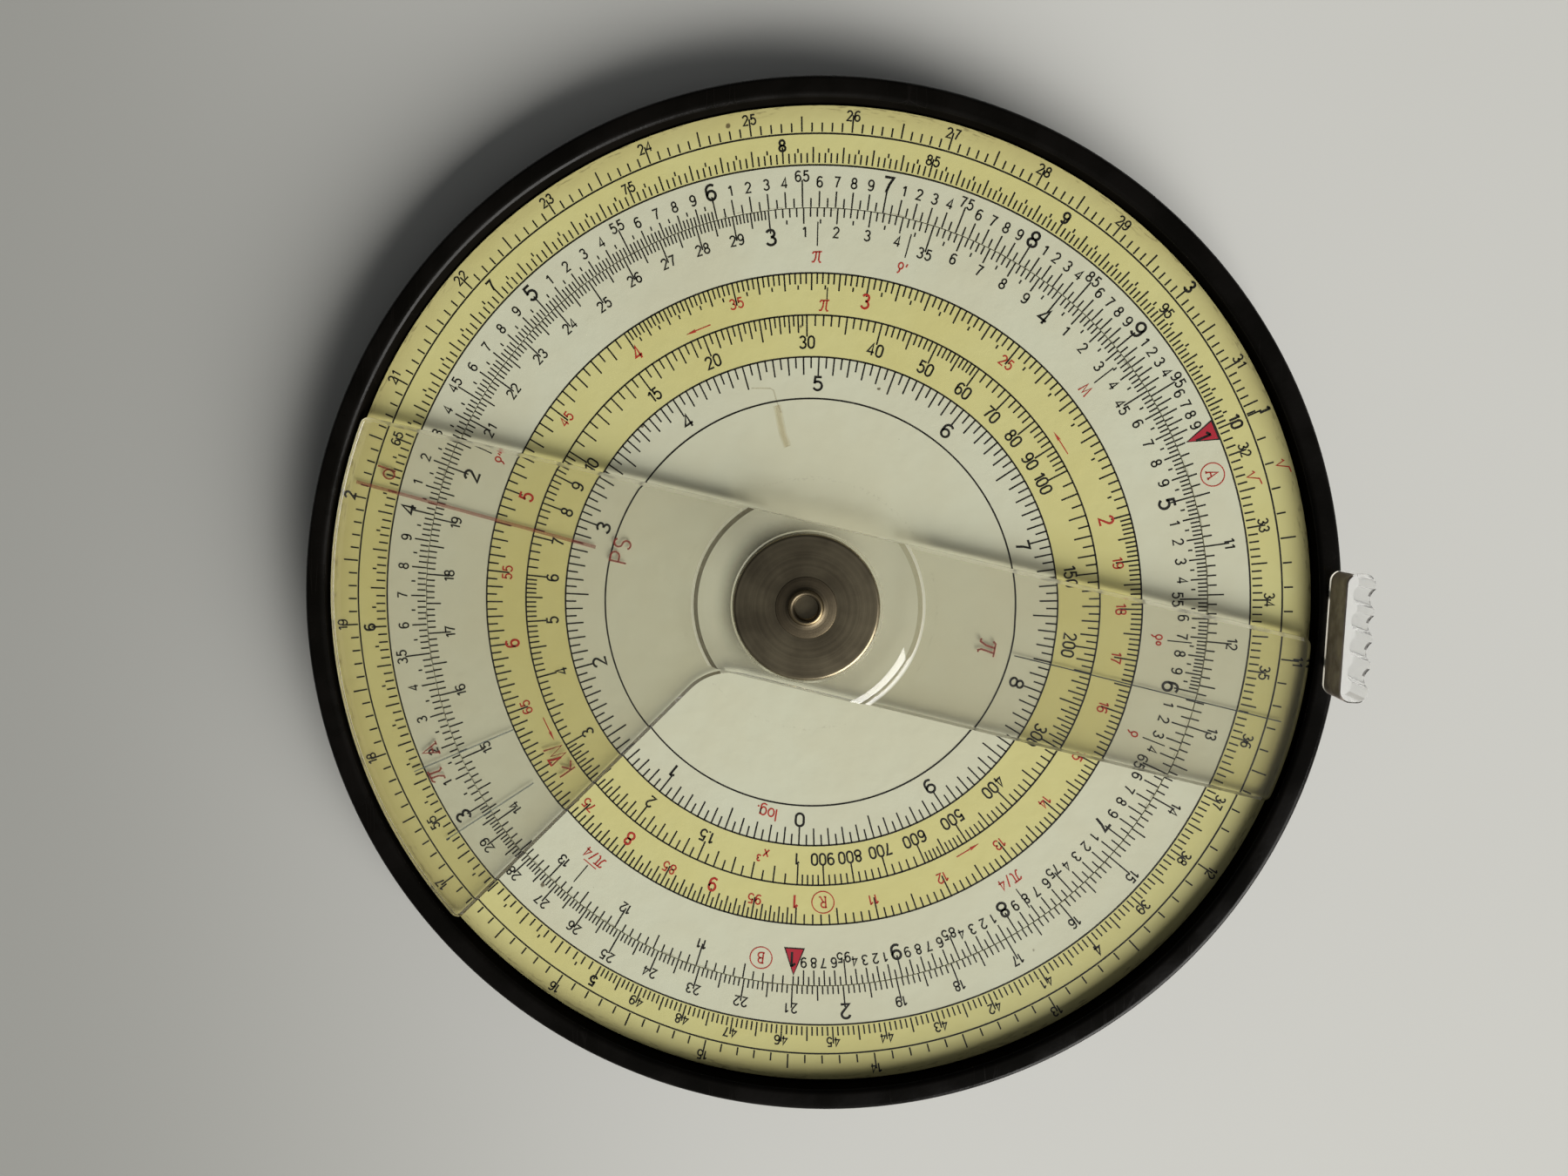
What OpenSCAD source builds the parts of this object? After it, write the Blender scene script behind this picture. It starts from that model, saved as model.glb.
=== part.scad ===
// Circular slide rule: a round black case with a fixed inner dial, an outer scale ring that turns
// round it, a clear two-armed cursor that turns over both, and a clear thumb grip on the rim.
// Millimetres, +Z up. The origin is on the spindle axis, on the surface that the feet stand on.

/* [Case] */
// Outside diameter of the case
case_d = 125.5; // [116:0.5:150]
// Thickness of the rim that stands round the dials
rim_w = 2.7; // [2.2:0.1:4]
// Height of the rim above the dials
rim_h = 2.3; // [1.4:0.1:3.5]
// Rounding of the rim's inner top edge
rim_inner_round = 0.8; // [0.3:0.1:1]
// Rounding of the rim's outer top edge
rim_outer_round = 0.6; // [0.3:0.1:1]
// Thickness of the case floor under the outer ring
floor_t = 3; // [2.4:0.1:5]
// Bevel round the bottom edge of the case
base_bevel = 1.2; // [0.4:0.1:2]

/* [Feet] */
// Number of felt feet
foot_count = 4; // [3:1:6]
// Diameter of a foot
foot_d = 10; // [6:0.5:14]
// How far the feet stand out under the case
foot_stand = 0.8; // [0.4:0.1:2]
// Depth of the sockets that the feet are glued into
foot_socket = 0.7; // [0.4:0.1:1.2]
// Distance of a foot's centre from the edge of the case
foot_inset = 13; // [9:0.5:18]
// Direction of the first foot, in degrees from +X
foot_angle = 45; // [0:5:90]

/* [Inner dial] */
// Diameter of the circle where the inner dial and the outer ring meet
dial_joint_d = 95.5; // [88:0.5:102]
// Gap between the inner dial and the outer ring
dial_gap = 0.15; // [0.08:0.01:0.4]
// Thickness of the printed face sheets
face_t = 0.7; // [0.4:0.1:1.2]
// Thickness of the plate under the inner dial's face
dial_plate_t = 1.5; // [1.2:0.1:2.5]
// How far the inner dial reaches out past its pedestal
dial_overhang = 4.2; // [2.5:0.1:6]
// Number of screws that hold the inner dial from below
dial_screw_count = 3; // [3:1:6]
// Thread diameter of those screws
dial_screw_d = 2; // [1.6:0.1:3]
// Diameter of the circle that those screws stand on
dial_screw_circle_d = 60; // [44:1:72]

/* [Outer ring] */
// Gap between the outer ring and the rim
ring_gap = 0.3; // [0.15:0.05:0.8]
// Thickness of the felt glide that the ring runs on
glide_t = 0.5; // [0.3:0.1:1]
// Width of the glide
glide_w = 5; // [3:0.5:7]
// Thickness of the ring that keeps the outer ring under the inner dial
retainer_t = 0.7; // [0.5:0.1:1.2]
// How far that retaining ring reaches out under the outer ring's plate
retainer_reach = 5; // [4:0.5:6]
// Room between the retaining ring and the inner dial's plate above it
retainer_gap = 0.3; // [0.15:0.05:0.8]
// Number of rivets that join the retaining ring to the outer ring's plate
rivet_count = 6; // [3:1:12]
// Diameter of those rivets
rivet_d = 1.6; // [1:0.1:2.4]

/* [Spindle] */
// Outside diameter of the spindle
spindle_d = 4.2; // [3.8:0.1:5.2]
// Diameter of the hollow in the spindle's top
spindle_hollow_d = 3; // [2:0.1:3.2]
// Depth of that hollow
spindle_hollow_h = 1.2; // [0.8:0.1:3]
// How far the flange on the spindle's top reaches over the cap
flange_reach = 1.6; // [0.8:0.05:2]
// Height of the flange at the spindle
flange_h = 0.4; // [0.3:0.05:0.8]
// Width of the bevel round the flange
flange_bevel = 0.4; // [0.2:0.05:0.6]
// Diameter of the spindle's lower head
spindle_head_d = 9; // [7.5:0.5:11]
// Thickness of the spindle's lower head
spindle_head_t = 0.8; // [0.5:0.1:1.2]
// Diameter of the washer over the spindle's lower head
spindle_washer_d = 12; // [9.5:0.5:14]
// Thickness of that washer
spindle_washer_t = 0.5; // [0.3:0.1:0.8]
// Wall of the bush that holds the spindle in the case
spindle_bush_wall = 1.2; // [0.8:0.1:1.8]
// Running clearance of the cursor on the spindle, on the radius
run_gap = 0.05; // [0.02:0.01:0.1]

/* [Back cover] */
// Thickness of the cover plate over the spindle's lower head
cover_t = 0.8; // [0.6:0.1:1.2]
// Width of the ledge that the cover plate is screwed to
cover_ledge = 4.5; // [3.8:0.1:7]
// Number of cover screws
cover_screw_count = 3; // [3:1:6]
// Thread diameter of the cover screws
cover_screw_d = 1.6; // [1.2:0.1:2]
// Length of a cover screw inside the case
cover_screw_bite = 2; // [1.4:0.1:2.6]
// Direction of the first cover screw, in degrees from +X
cover_screw_angle = 60; // [0:5:120]

/* [Cursor] */
// Direction of the straight arm, in degrees from +X
cursor_angle = -13.1; // [-180:0.1:180]
// Thickness of the clear cursor plate
cursor_t = 2; // [1.2:0.1:3]
// Height of the cursor plate above the dials
cursor_lift = 0.4; // [0.2:0.1:1]
// Width of the straight arm
arm_w = 20; // [16:0.5:26]
// Angle between the two long edges of the wide arm, in degrees
wide_arm_angle = 58; // [45:1:70]
// Distance of the wide arm's lower edge from the spindle axis
wide_arm_offset = 2.8; // [1:0.1:5]
// Fillet between the wide arm and the hub
arm_fillet = 7; // [3:0.5:12]
// Rounding of the arms' corners
arm_corner = 1; // [0.4:0.1:2]
// Gap between the ends of the arms and the rim
arm_end_gap = 0.55; // [0.3:0.05:3]
// Diameter of the raised boss on the cursor's hub
boss_d = 27.7; // [25:0.1:34]
// Height of the boss
boss_h = 1.2; // [0.8:0.1:2]
// Height of the upright edge below the boss's bevel
boss_edge = 0.3; // [0.1:0.1:0.6]
// Width of the boss's bevel
boss_bevel = 2.4; // [0.6:0.1:3]
// Wall of the bush in the cursor's hub
cursor_bush_wall = 0.9; // [0.6:0.1:1.4]
// Diameter of the washer between the inner dial and the cursor
thrust_washer_d = 14; // [10:0.5:18]

/* [Cap] */
// Diameter of the cap
cap_d = 17.6; // [15.5:0.1:20]
// Thickness of the cap's top and skirt
cap_t = 0.5; // [0.3:0.05:0.7]
// Depth of the hollow under the cap
cap_hollow_h = 0.5; // [0.4:0.05:0.8]
// Diameter of the collar in the middle of that hollow
cap_collar_d = 7.4; // [6.6:0.1:8.2]
// Rounding of the cap's top edge
cap_round = 0.4; // [0.15:0.05:0.6]
// Gap between the cap and the boss below it
cap_gap = 0.2; // [0.1:0.05:0.5]
// Thickness of the spring washer under the cap
cap_spring_t = 0.25; // [0.15:0.05:0.35]

/* [Thumb grip] */
// Direction of the grip, in degrees from +X
grip_angle = -2.5; // [-180:0.5:180]
// Width of the grip along the rim
grip_w = 14.7; // [11:0.1:20]
// Thickness of the grip across the rim
grip_t = 3.25; // [2.6:0.05:4.5]
// Height of the grip above the rim
grip_h = 6.4; // [4:0.1:10]
// Distance of the grip's inner face from the rim's inner wall
grip_inset = 0.95; // [0.85:0.05:1.2]
// Rounding of the grip's upright corners
grip_corner = 1.3; // [0.4:0.1:1.5]
// Number of finger grooves down the grip's outer face
groove_count = 4; // [2:1:6]
// Diameter of a groove
groove_d = 1.6; // [0.8:0.1:2]
// Depth of a groove
groove_depth = 0.4; // [0.2:0.05:0.5]
// Diameter of the pins that hold the grip on the rim
pin_d = 0.9; // [0.6:0.1:1]
// Distance between those pins
pin_spacing = 8; // [5:0.5:9]
// Length of a pin inside the rim
pin_root = 3; // [2:0.1:4]
// Length of a pin inside the grip
pin_rise = 1.2; // [0.8:0.1:2]

/* [Hidden] */
$fn = 96;
// Clearance of what is pressed or screwed together
press_gap = 0.01;
// Clearance of what passes freely through a hole
free_gap = 0.2;
// Room left round and below the spindle's lower head
head_room = 0.5;
// Material left over the end of a blind hole
blind_skin = 0.4;
// Extra length of a cut that has to run out of its solid
cut = 0.5;

case_r = case_d / 2;
rim_r = case_r - rim_w;
base_z = foot_stand;
floor_z = base_z + floor_t;
glide_z = floor_z + glide_t;
retainer_z = glide_z + retainer_t;
ring_plate_t = dial_plate_t + retainer_gap;
face_z = retainer_z + ring_plate_t;
dial_z = face_z + face_t;
pedestal_z = face_z - dial_plate_t;
rim_z = dial_z + rim_h;

dial_r = (dial_joint_d - dial_gap) / 2;
ring_in_r = (dial_joint_d + dial_gap) / 2;
ring_out_r = rim_r - ring_gap;
pedestal_r = dial_r - dial_overhang;
retainer_in_r = pedestal_r + run_gap;
retainer_out_r = ring_in_r + retainer_reach;
rivet_r = ring_in_r + retainer_reach / 2;
glide_mid_r = (retainer_in_r + retainer_out_r) / 2;

spindle_r = spindle_d / 2;
recess_r = spindle_washer_d / 2 + head_room;
recess_z = base_z + cover_t + head_room + spindle_head_t + spindle_washer_t;
cover_r = recess_r + cover_ledge;
cover_screw_r = recess_r + cover_ledge / 2;
cover_screw_l = cover_t + cover_screw_bite;

cursor_z = dial_z + cursor_lift;
boss_z = cursor_z + cursor_t;
hub_z = boss_z + boss_h;
arm_half = arm_w / 2;
arm_end_r = rim_r - arm_end_gap;
cursor_hole_r = spindle_r + run_gap + cursor_bush_wall;
// Direction of the wide arm's lower edge, in the cursor's own frame
wide_edge_angle = 180 + wide_arm_angle;

cap_z = hub_z + cap_gap;
cap_top_z = cap_z + cap_hollow_h + cap_t;
hollow_r = spindle_hollow_d / 2;
// Radius of the rounded lip between the hollow and the outside of the spindle
lip_r = (spindle_r - hollow_r) / 2;
spindle_top_z = cap_top_z + flange_h + lip_r;

foot_r = case_r - foot_inset;
grip_in_r = rim_r + grip_inset;
groove_pitch = (grip_w - 2 * grip_corner) / groove_count;
// Radius of the pins' row: the middle of the rim's flat top that the grip covers
pin_r = (grip_in_r + case_r - rim_outer_round) / 2 - press_gap;

// Places its children at equal steps round the axis.
module around(count, radius, start = 0) {
    for (i = [0 : count - 1])
        rotate(start + i * 360 / count)
            translate([radius, 0, 0])
                children();
}

// Flat washer or tube from z to z + h.
module tube(z, h, inner_r, outer_r) {
    translate([0, 0, z])
        difference() {
            cylinder(h = h, r = outer_r);
            translate([0, 0, -cut])
                cylinder(h = h + 2 * cut, r = inner_r);
        }
}

// Countersunk screw or its hole, head down at z = 0; grow widens it and head_cut lengthens it downwards.
module countersunk(d, l, grow = 0, head_cut = 0) {
    shank_r = d / 2 + grow;
    head_r = d + grow;
    cylinder(h = head_r - shank_r, r1 = head_r, r2 = shank_r);
    cylinder(h = l, r = shank_r);
    if (head_cut > 0)
        translate([0, 0, -head_cut])
            cylinder(h = head_cut, r = head_r);
}

// Countersunk screw with a driver slot across its head.
module slotted_screw(d, l) {
    slot_w = d / 4;
    difference() {
        countersunk(d, l);
        translate([-d - cut, -slot_w / 2, -cut])
            cube([2 * (d + cut), slot_w, cut + slot_w]);
    }
}

// Waste of a rounded edge of radius r whose centre is at the origin and whose corner is up and to the left.
module edge_waste(r) {
    difference() {
        translate([-r - cut, 0])
            square(r + cut);
        circle(r = r);
    }
}

// Half section of the case floor, pedestal and rim, for a turn about the axis.
module case_section() {
    difference() {
        polygon([
            [0, base_z], [case_r - base_bevel, base_z], [case_r, base_z + base_bevel], [case_r, rim_z],
            [rim_r, rim_z], [rim_r, floor_z], [pedestal_r, floor_z], [pedestal_r, pedestal_z], [0, pedestal_z]
        ]);
        translate([rim_r + rim_inner_round, rim_z - rim_inner_round])
            edge_waste(rim_inner_round);
        translate([case_r - rim_outer_round, rim_z - rim_outer_round])
            mirror([1, 0]) edge_waste(rim_outer_round);
    }
}

module case_pan() {
    color([0.03, 0.03, 0.03])
        difference() {
            rotate_extrude() case_section();
            translate([0, 0, base_z - cut])
                cylinder(h = recess_z - base_z + cut, r = recess_r);
            translate([0, 0, base_z - cut])
                cylinder(h = cover_t + cut, r = cover_r + press_gap);
            translate([0, 0, recess_z - cut])
                cylinder(h = pedestal_z - recess_z + 2 * cut, r = spindle_r + spindle_bush_wall + press_gap);
            around(foot_count, foot_r, foot_angle)
                translate([0, 0, base_z - cut])
                    cylinder(h = foot_socket + cut, r = foot_d / 2 + press_gap);
            around(dial_screw_count, dial_screw_circle_d / 2)
                translate([0, 0, base_z])
                    countersunk(dial_screw_d, pedestal_z - base_z + cut, press_gap, cut);
            around(cover_screw_count, cover_screw_r, cover_screw_angle)
                translate([0, 0, base_z])
                    cylinder(h = cover_screw_l + blind_skin, r = cover_screw_d / 2 + press_gap);
            grip_frame()
                pin_places()
                    translate([0, 0, rim_z - pin_root])
                        cylinder(h = pin_root + cut, r = pin_d / 2 + press_gap);
        }
}

module foot_pads() {
    color([0.16, 0.13, 0.1])
        around(foot_count, foot_r, foot_angle)
            cylinder(h = foot_stand + foot_socket, r = foot_d / 2);
}

module back_cover() {
    color([0.05, 0.05, 0.05])
        difference() {
            translate([0, 0, base_z])
                cylinder(h = cover_t, r = cover_r);
            around(cover_screw_count, cover_screw_r, cover_screw_angle)
                translate([0, 0, base_z])
                    countersunk(cover_screw_d, cover_t + cut, press_gap, cut);
        }
}

module back_cover_screws() {
    color([0.7, 0.68, 0.62])
        around(cover_screw_count, cover_screw_r, cover_screw_angle)
            translate([0, 0, base_z])
                slotted_screw(cover_screw_d, cover_screw_l);
}

// Half section of the spindle's top: a flange over the cap, and a rounded lip round the hollow.
module spindle_top_section() {
    flange_r = spindle_r + flange_reach;
    edge_h = flange_h / 4;
    polygon([
        [hollow_r, cap_top_z], [flange_r, cap_top_z], [flange_r, cap_top_z + edge_h],
        [flange_r - flange_bevel, cap_top_z + 3 * edge_h], [spindle_r, cap_top_z + flange_h],
        [hollow_r, cap_top_z + flange_h]
    ]);
    translate([hollow_r + lip_r, cap_top_z + flange_h])
        intersection() {
            circle(r = lip_r);
            translate([-lip_r, 0])
                square([2 * lip_r, lip_r]);
        }
}

module spindle() {
    head_z = recess_z - spindle_washer_t - spindle_head_t;
    color([0.62, 0.58, 0.5])
        difference() {
            union() {
                translate([0, 0, head_z])
                    cylinder(h = spindle_head_t, r = spindle_head_d / 2);
                translate([0, 0, head_z])
                    cylinder(h = cap_top_z - head_z, r = spindle_r);
                rotate_extrude() spindle_top_section();
            }
            translate([0, 0, spindle_top_z - spindle_hollow_h])
                cylinder(h = spindle_hollow_h + cut, r = hollow_r);
        }
}

module spindle_washer() {
    color([0.6, 0.6, 0.6])
        tube(recess_z - spindle_washer_t, spindle_washer_t, spindle_r + free_gap, spindle_washer_d / 2);
}

module spindle_bush() {
    color([0.72, 0.58, 0.28])
        tube(recess_z, pedestal_z - recess_z, spindle_r + press_gap, spindle_r + spindle_bush_wall);
}

module inner_dial_plate() {
    color([0.75, 0.76, 0.77])
        difference() {
            tube(pedestal_z, dial_plate_t, spindle_r + press_gap, dial_r);
            around(dial_screw_count, dial_screw_circle_d / 2)
                translate([0, 0, pedestal_z - cut])
                    cylinder(h = dial_plate_t - blind_skin + cut, r = dial_screw_d / 2 + press_gap);
        }
}

module inner_dial_face() {
    color([0.9, 0.88, 0.74])
        tube(face_z, face_t, spindle_r + free_gap, dial_r);
}

module inner_dial_screws() {
    color([0.7, 0.68, 0.62])
        around(dial_screw_count, dial_screw_circle_d / 2)
            translate([0, 0, base_z])
                slotted_screw(dial_screw_d, pedestal_z - base_z + dial_plate_t - blind_skin);
}

module ring_glide() {
    color([0.25, 0.3, 0.25])
        tube(floor_z, glide_t, glide_mid_r - glide_w / 2, glide_mid_r + glide_w / 2);
}

module ring_retainer() {
    color([0.6, 0.6, 0.6])
        difference() {
            tube(glide_z, retainer_t, retainer_in_r, retainer_out_r);
            around(rivet_count, rivet_r)
                translate([0, 0, glide_z - cut])
                    cylinder(h = retainer_t + 2 * cut, r = rivet_d / 2 + press_gap);
        }
}

module ring_rivets() {
    color([0.72, 0.58, 0.28])
        around(rivet_count, rivet_r)
            translate([0, 0, glide_z])
                cylinder(h = retainer_t + ring_plate_t - blind_skin, r = rivet_d / 2);
}

module ring_plate() {
    color([0.75, 0.76, 0.77])
        difference() {
            tube(retainer_z, ring_plate_t, ring_in_r, ring_out_r);
            around(rivet_count, rivet_r)
                translate([0, 0, retainer_z - cut])
                    cylinder(h = ring_plate_t - blind_skin + cut, r = rivet_d / 2 + press_gap);
        }
}

module ring_face() {
    color([0.88, 0.84, 0.5])
        tube(face_z, face_t, ring_in_r, ring_out_r);
}

module cursor_thrust_washer() {
    color([0.35, 0.25, 0.15])
        tube(dial_z, cursor_lift, spindle_r + free_gap, thrust_washer_d / 2);
}

// Point at radius r and direction a.
function polar(r, a) = [r * cos(a), r * sin(a)];

// Point where two lines meet, each given by its direction and its distance to the left of the origin.
function meet(a1, h1, a2, h2) =
    let (turn = sin(a2 - a1))
    [(h1 * cos(a2) - h2 * cos(a1)) / turn, (h1 * sin(a2) - h2 * sin(a1)) / turn];

// Corner waste between the arc of the arm's end and a straight edge that runs outwards along X at y = edge_y,
// with the arm below that edge.
module corner_waste(edge_y) {
    centre_y = edge_y - arm_corner;
    centre_x = sqrt(pow(arm_end_r - arm_corner, 2) - pow(centre_y, 2));
    arc_a = atan2(centre_y, centre_x);
    difference() {
        polygon([
            [centre_x, centre_y], [centre_x, edge_y + cut],
            [arm_end_r + cut, edge_y + cut], polar(arm_end_r + cut, arc_a)
        ]);
        translate([centre_x, centre_y])
            circle(r = arm_corner);
    }
}

// Outline of the cursor, in a frame whose X axis runs along the straight arm.
module cursor_outline() {
    reach = 2 * arm_end_r;
    // The hub's lower edge meets the wide arm's lower edge in a hollow corner, which the fillet eases.
    corner = meet(180, arm_half, wide_edge_angle, -wide_arm_offset);
    fillet_centre = meet(180, arm_half + arm_fillet, wide_edge_angle, arm_fillet - wide_arm_offset);
    hub_touch = [fillet_centre[0], -arm_half];
    wide_touch = fillet_centre + polar(arm_fillet, wide_edge_angle - 90);
    difference() {
        intersection() {
            circle(r = arm_end_r);
            union() {
                translate([corner[0], -arm_half])
                    square([reach - corner[0], arm_w]);
                polygon([
                    corner, corner + polar(reach, wide_edge_angle),
                    polar(2 * reach, 180 + wide_arm_angle / 2), [-reach, arm_half], [corner[0], arm_half]
                ]);
                difference() {
                    polygon([corner, wide_touch, fillet_centre, hub_touch]);
                    translate(fillet_centre)
                        circle(r = arm_fillet);
                }
            }
        }
        corner_waste(arm_half);
        mirror([0, 1]) corner_waste(arm_half);
        mirror([1, 0]) corner_waste(arm_half);
        rotate(wide_edge_angle) corner_waste(-wide_arm_offset);
    }
}

module cursor_plate() {
    color([0.85, 0.88, 0.85, 0.4])
        rotate(cursor_angle)
            translate([0, 0, cursor_z])
                difference() {
                    linear_extrude(height = cursor_t) cursor_outline();
                    translate([0, 0, -cut])
                        cylinder(h = cursor_t + 2 * cut, r = cursor_hole_r + press_gap);
                }
}

// The boss is turned round, bevelled, and then trimmed to the straight edges of the plate under it.
module cursor_boss() {
    boss_r = boss_d / 2;
    color([0.85, 0.88, 0.85, 0.4])
        rotate(cursor_angle)
            translate([0, 0, boss_z])
                difference() {
                    intersection() {
                        rotate_extrude()
                            polygon([
                                [0, 0], [boss_r, 0], [boss_r, boss_edge],
                                [boss_r - boss_bevel, boss_h], [0, boss_h]
                            ]);
                        translate([-boss_r, -arm_half, -cut])
                            cube([2 * boss_r, arm_w, boss_h + 2 * cut]);
                    }
                    translate([0, 0, -cut])
                        cylinder(h = boss_h + 2 * cut, r = cursor_hole_r + press_gap);
                }
}

module cursor_bush() {
    color([0.72, 0.58, 0.28])
        tube(cursor_z, cursor_t + boss_h, spindle_r + run_gap, cursor_hole_r);
}

// Cone-shaped spring washer between the boss and the underside of the cap.
module cap_spring() {
    inner_r = cap_collar_d / 2 + free_gap;
    outer_r = cap_d / 2 - cap_t - cap_round - free_gap;
    height = cap_gap + cap_hollow_h;
    color([0.55, 0.53, 0.5])
        translate([0, 0, hub_z])
            rotate_extrude()
                polygon([
                    [inner_r, height - cap_spring_t], [outer_r, 0],
                    [outer_r, cap_spring_t], [inner_r, height]
                ]);
}

// The cap is turned: a rounded skirt, a flat top, and a collar in the middle, which the spindle's flange
// holds down.
module hub_cap() {
    cap_r = cap_d / 2;
    cap_h = cap_hollow_h + cap_t;
    collar_r = cap_collar_d / 2;
    color([0.5, 0.47, 0.42])
        translate([0, 0, cap_z])
            difference() {
                rotate_extrude() {
                    square([cap_r - cap_round, cap_h]);
                    square([cap_r, cap_h - cap_round]);
                    translate([cap_r - cap_round, cap_h - cap_round])
                        circle(r = cap_round);
                }
                rotate_extrude()
                    polygon([
                        [collar_r, -cut], [cap_r - cap_t, -cut], [cap_r - cap_t, cap_hollow_h - cap_round],
                        [cap_r - cap_t - cap_round, cap_hollow_h], [collar_r, cap_hollow_h]
                    ]);
                translate([0, 0, -cut])
                    cylinder(h = cap_h + 2 * cut, r = spindle_r + press_gap);
            }
}

// Frame of the grip: X runs outwards across the rim.
module grip_frame() {
    rotate(grip_angle) children();
}

module pin_places() {
    for (side = [-1, 1])
        translate([pin_r, side * pin_spacing / 2, 0])
            children();
}

// Plan of the grip: a bar with rounded corners and finger grooves down its outer face.
module grip_plan() {
    half_w = grip_w / 2;
    groove_x = grip_in_r + grip_t + groove_d / 2 - groove_depth;
    difference() {
        union() {
            translate([grip_in_r + grip_corner, -half_w])
                square([grip_t - 2 * grip_corner, grip_w]);
            translate([grip_in_r, grip_corner - half_w])
                square([grip_t, grip_w - 2 * grip_corner]);
            for (x = [grip_in_r + grip_corner, grip_in_r + grip_t - grip_corner], side = [-1, 1])
                translate([x, side * (half_w - grip_corner)])
                    circle(r = grip_corner);
        }
        for (i = [0 : groove_count - 1])
            translate([groove_x, (i + 0.5 - groove_count / 2) * groove_pitch])
                circle(r = groove_d / 2);
    }
}

module thumb_grip() {
    color([0.85, 0.88, 0.85, 0.4])
        grip_frame()
            translate([0, 0, rim_z])
                difference() {
                    linear_extrude(height = grip_h) grip_plan();
                    pin_places()
                        translate([0, 0, -cut])
                            cylinder(h = pin_rise + cut, r = pin_d / 2 + press_gap);
                }
}

module grip_pins() {
    color([0.3, 0.3, 0.3])
        grip_frame()
            pin_places()
                translate([0, 0, rim_z - pin_root])
                    cylinder(h = pin_root + pin_rise, r = pin_d / 2);
}

case_pan();
foot_pads();
back_cover();
back_cover_screws();
spindle();
spindle_washer();
spindle_bush();
inner_dial_plate();
inner_dial_face();
inner_dial_screws();
ring_glide();
ring_retainer();
ring_rivets();
ring_plate();
ring_face();
cursor_thrust_washer();
cursor_plate();
cursor_boss();
cursor_bush();
cap_spring();
hub_cap();
thumb_grip();
grip_pins();
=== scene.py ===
"""Looks of a circular slide rule: printed dials, moulded case, clear cursor, turned hub and thumb grip.

Sizes are in millimetres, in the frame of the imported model, and become metres when a mesh is made.
"""

import logging
import math
from collections.abc import Iterator, Mapping, Sequence
from dataclasses import dataclass, field
from enum import Enum
from typing import Any

import bmesh
import bpy
from mathutils import Matrix, Vector


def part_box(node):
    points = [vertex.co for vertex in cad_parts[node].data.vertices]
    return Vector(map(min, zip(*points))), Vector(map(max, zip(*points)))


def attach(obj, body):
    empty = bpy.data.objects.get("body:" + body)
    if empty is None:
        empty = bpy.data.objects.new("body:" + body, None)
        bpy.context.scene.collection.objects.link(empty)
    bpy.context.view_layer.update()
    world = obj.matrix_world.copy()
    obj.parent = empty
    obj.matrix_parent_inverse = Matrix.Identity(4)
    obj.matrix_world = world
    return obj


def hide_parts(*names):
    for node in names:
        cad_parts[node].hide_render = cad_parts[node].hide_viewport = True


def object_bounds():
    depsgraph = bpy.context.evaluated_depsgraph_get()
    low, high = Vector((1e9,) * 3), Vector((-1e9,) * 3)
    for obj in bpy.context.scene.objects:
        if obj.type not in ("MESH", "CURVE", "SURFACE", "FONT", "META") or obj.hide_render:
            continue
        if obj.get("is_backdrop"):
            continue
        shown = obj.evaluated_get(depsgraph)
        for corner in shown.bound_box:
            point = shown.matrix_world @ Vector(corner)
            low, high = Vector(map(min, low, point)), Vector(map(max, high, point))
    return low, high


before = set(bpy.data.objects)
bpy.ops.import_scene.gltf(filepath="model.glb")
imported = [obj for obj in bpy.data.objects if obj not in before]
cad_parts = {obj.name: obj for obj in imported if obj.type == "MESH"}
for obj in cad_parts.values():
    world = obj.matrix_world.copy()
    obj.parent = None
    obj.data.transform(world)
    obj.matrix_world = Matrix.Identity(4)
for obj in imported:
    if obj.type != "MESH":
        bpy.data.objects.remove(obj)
CAD_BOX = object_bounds()

MM = 0.001
LATHE_STEPS = 288
# Smallest cosines that a corner of an outline and a bend of a line are mitred to.
CORNER_LIMIT = 0.5
BEND_LIMIT = 0.6
# A face whose normal rises less than this is a wall.
WALL_RISE = 0.5

Point = tuple[float, float]
Point3 = tuple[float, float, float]
Color = tuple[float, float, float, float]

log = logging.getLogger("slide_rule")


class Body(str, Enum):
    """Bodies of the frame that a piece can ride on."""

    BASE = "base"
    RING = "ring"
    CURSOR = "cursor"


class Slot(str, Enum):
    """Material slots of the record."""

    BAKELITE = "bakelite"
    CELLULOID = "celluloid"
    CLEAR = "clear_acrylic"
    NICKEL = "nickel"
    FELT = "felt"


class Carving(Enum):
    """Ways to work on a piece with another solid."""

    JOIN = "UNION"
    CUT = "DIFFERENCE"


class Side(int, Enum):
    """Side of its line that a scale stands on."""

    INWARD = -1
    OUTWARD = 1


def srgb(red: int, green: int, blue: int) -> Color:
    """Gives the linear colour of a screen colour.

    Args:
        red, green, blue: Channels from 0 to 255.

    Returns:
        The colour as shaders take it, fully opaque.
    """
    shares = (red / 255, green / 255, blue / 255)
    return (*(s / 12.92 if s <= 0.04045 else ((s + 0.055) / 1.055) ** 2.4 for s in shares), 1.0)


def top_of(node: str) -> float:
    """Height of a node's highest point, in millimetres."""
    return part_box(node)[1].z / MM


def bottom_of(node: str) -> float:
    """Height of a node's lowest point, in millimetres."""
    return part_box(node)[0].z / MM


def radius_of(node: str) -> float:
    """Largest reach of a round node from the spindle axis along Y, in millimetres."""
    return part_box(node)[1].y / MM


def polar(radius: float, angle: float) -> Point:
    """Point at a radius and an angle in degrees."""
    turn = math.radians(angle)
    return radius * math.cos(turn), radius * math.sin(turn)


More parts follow.
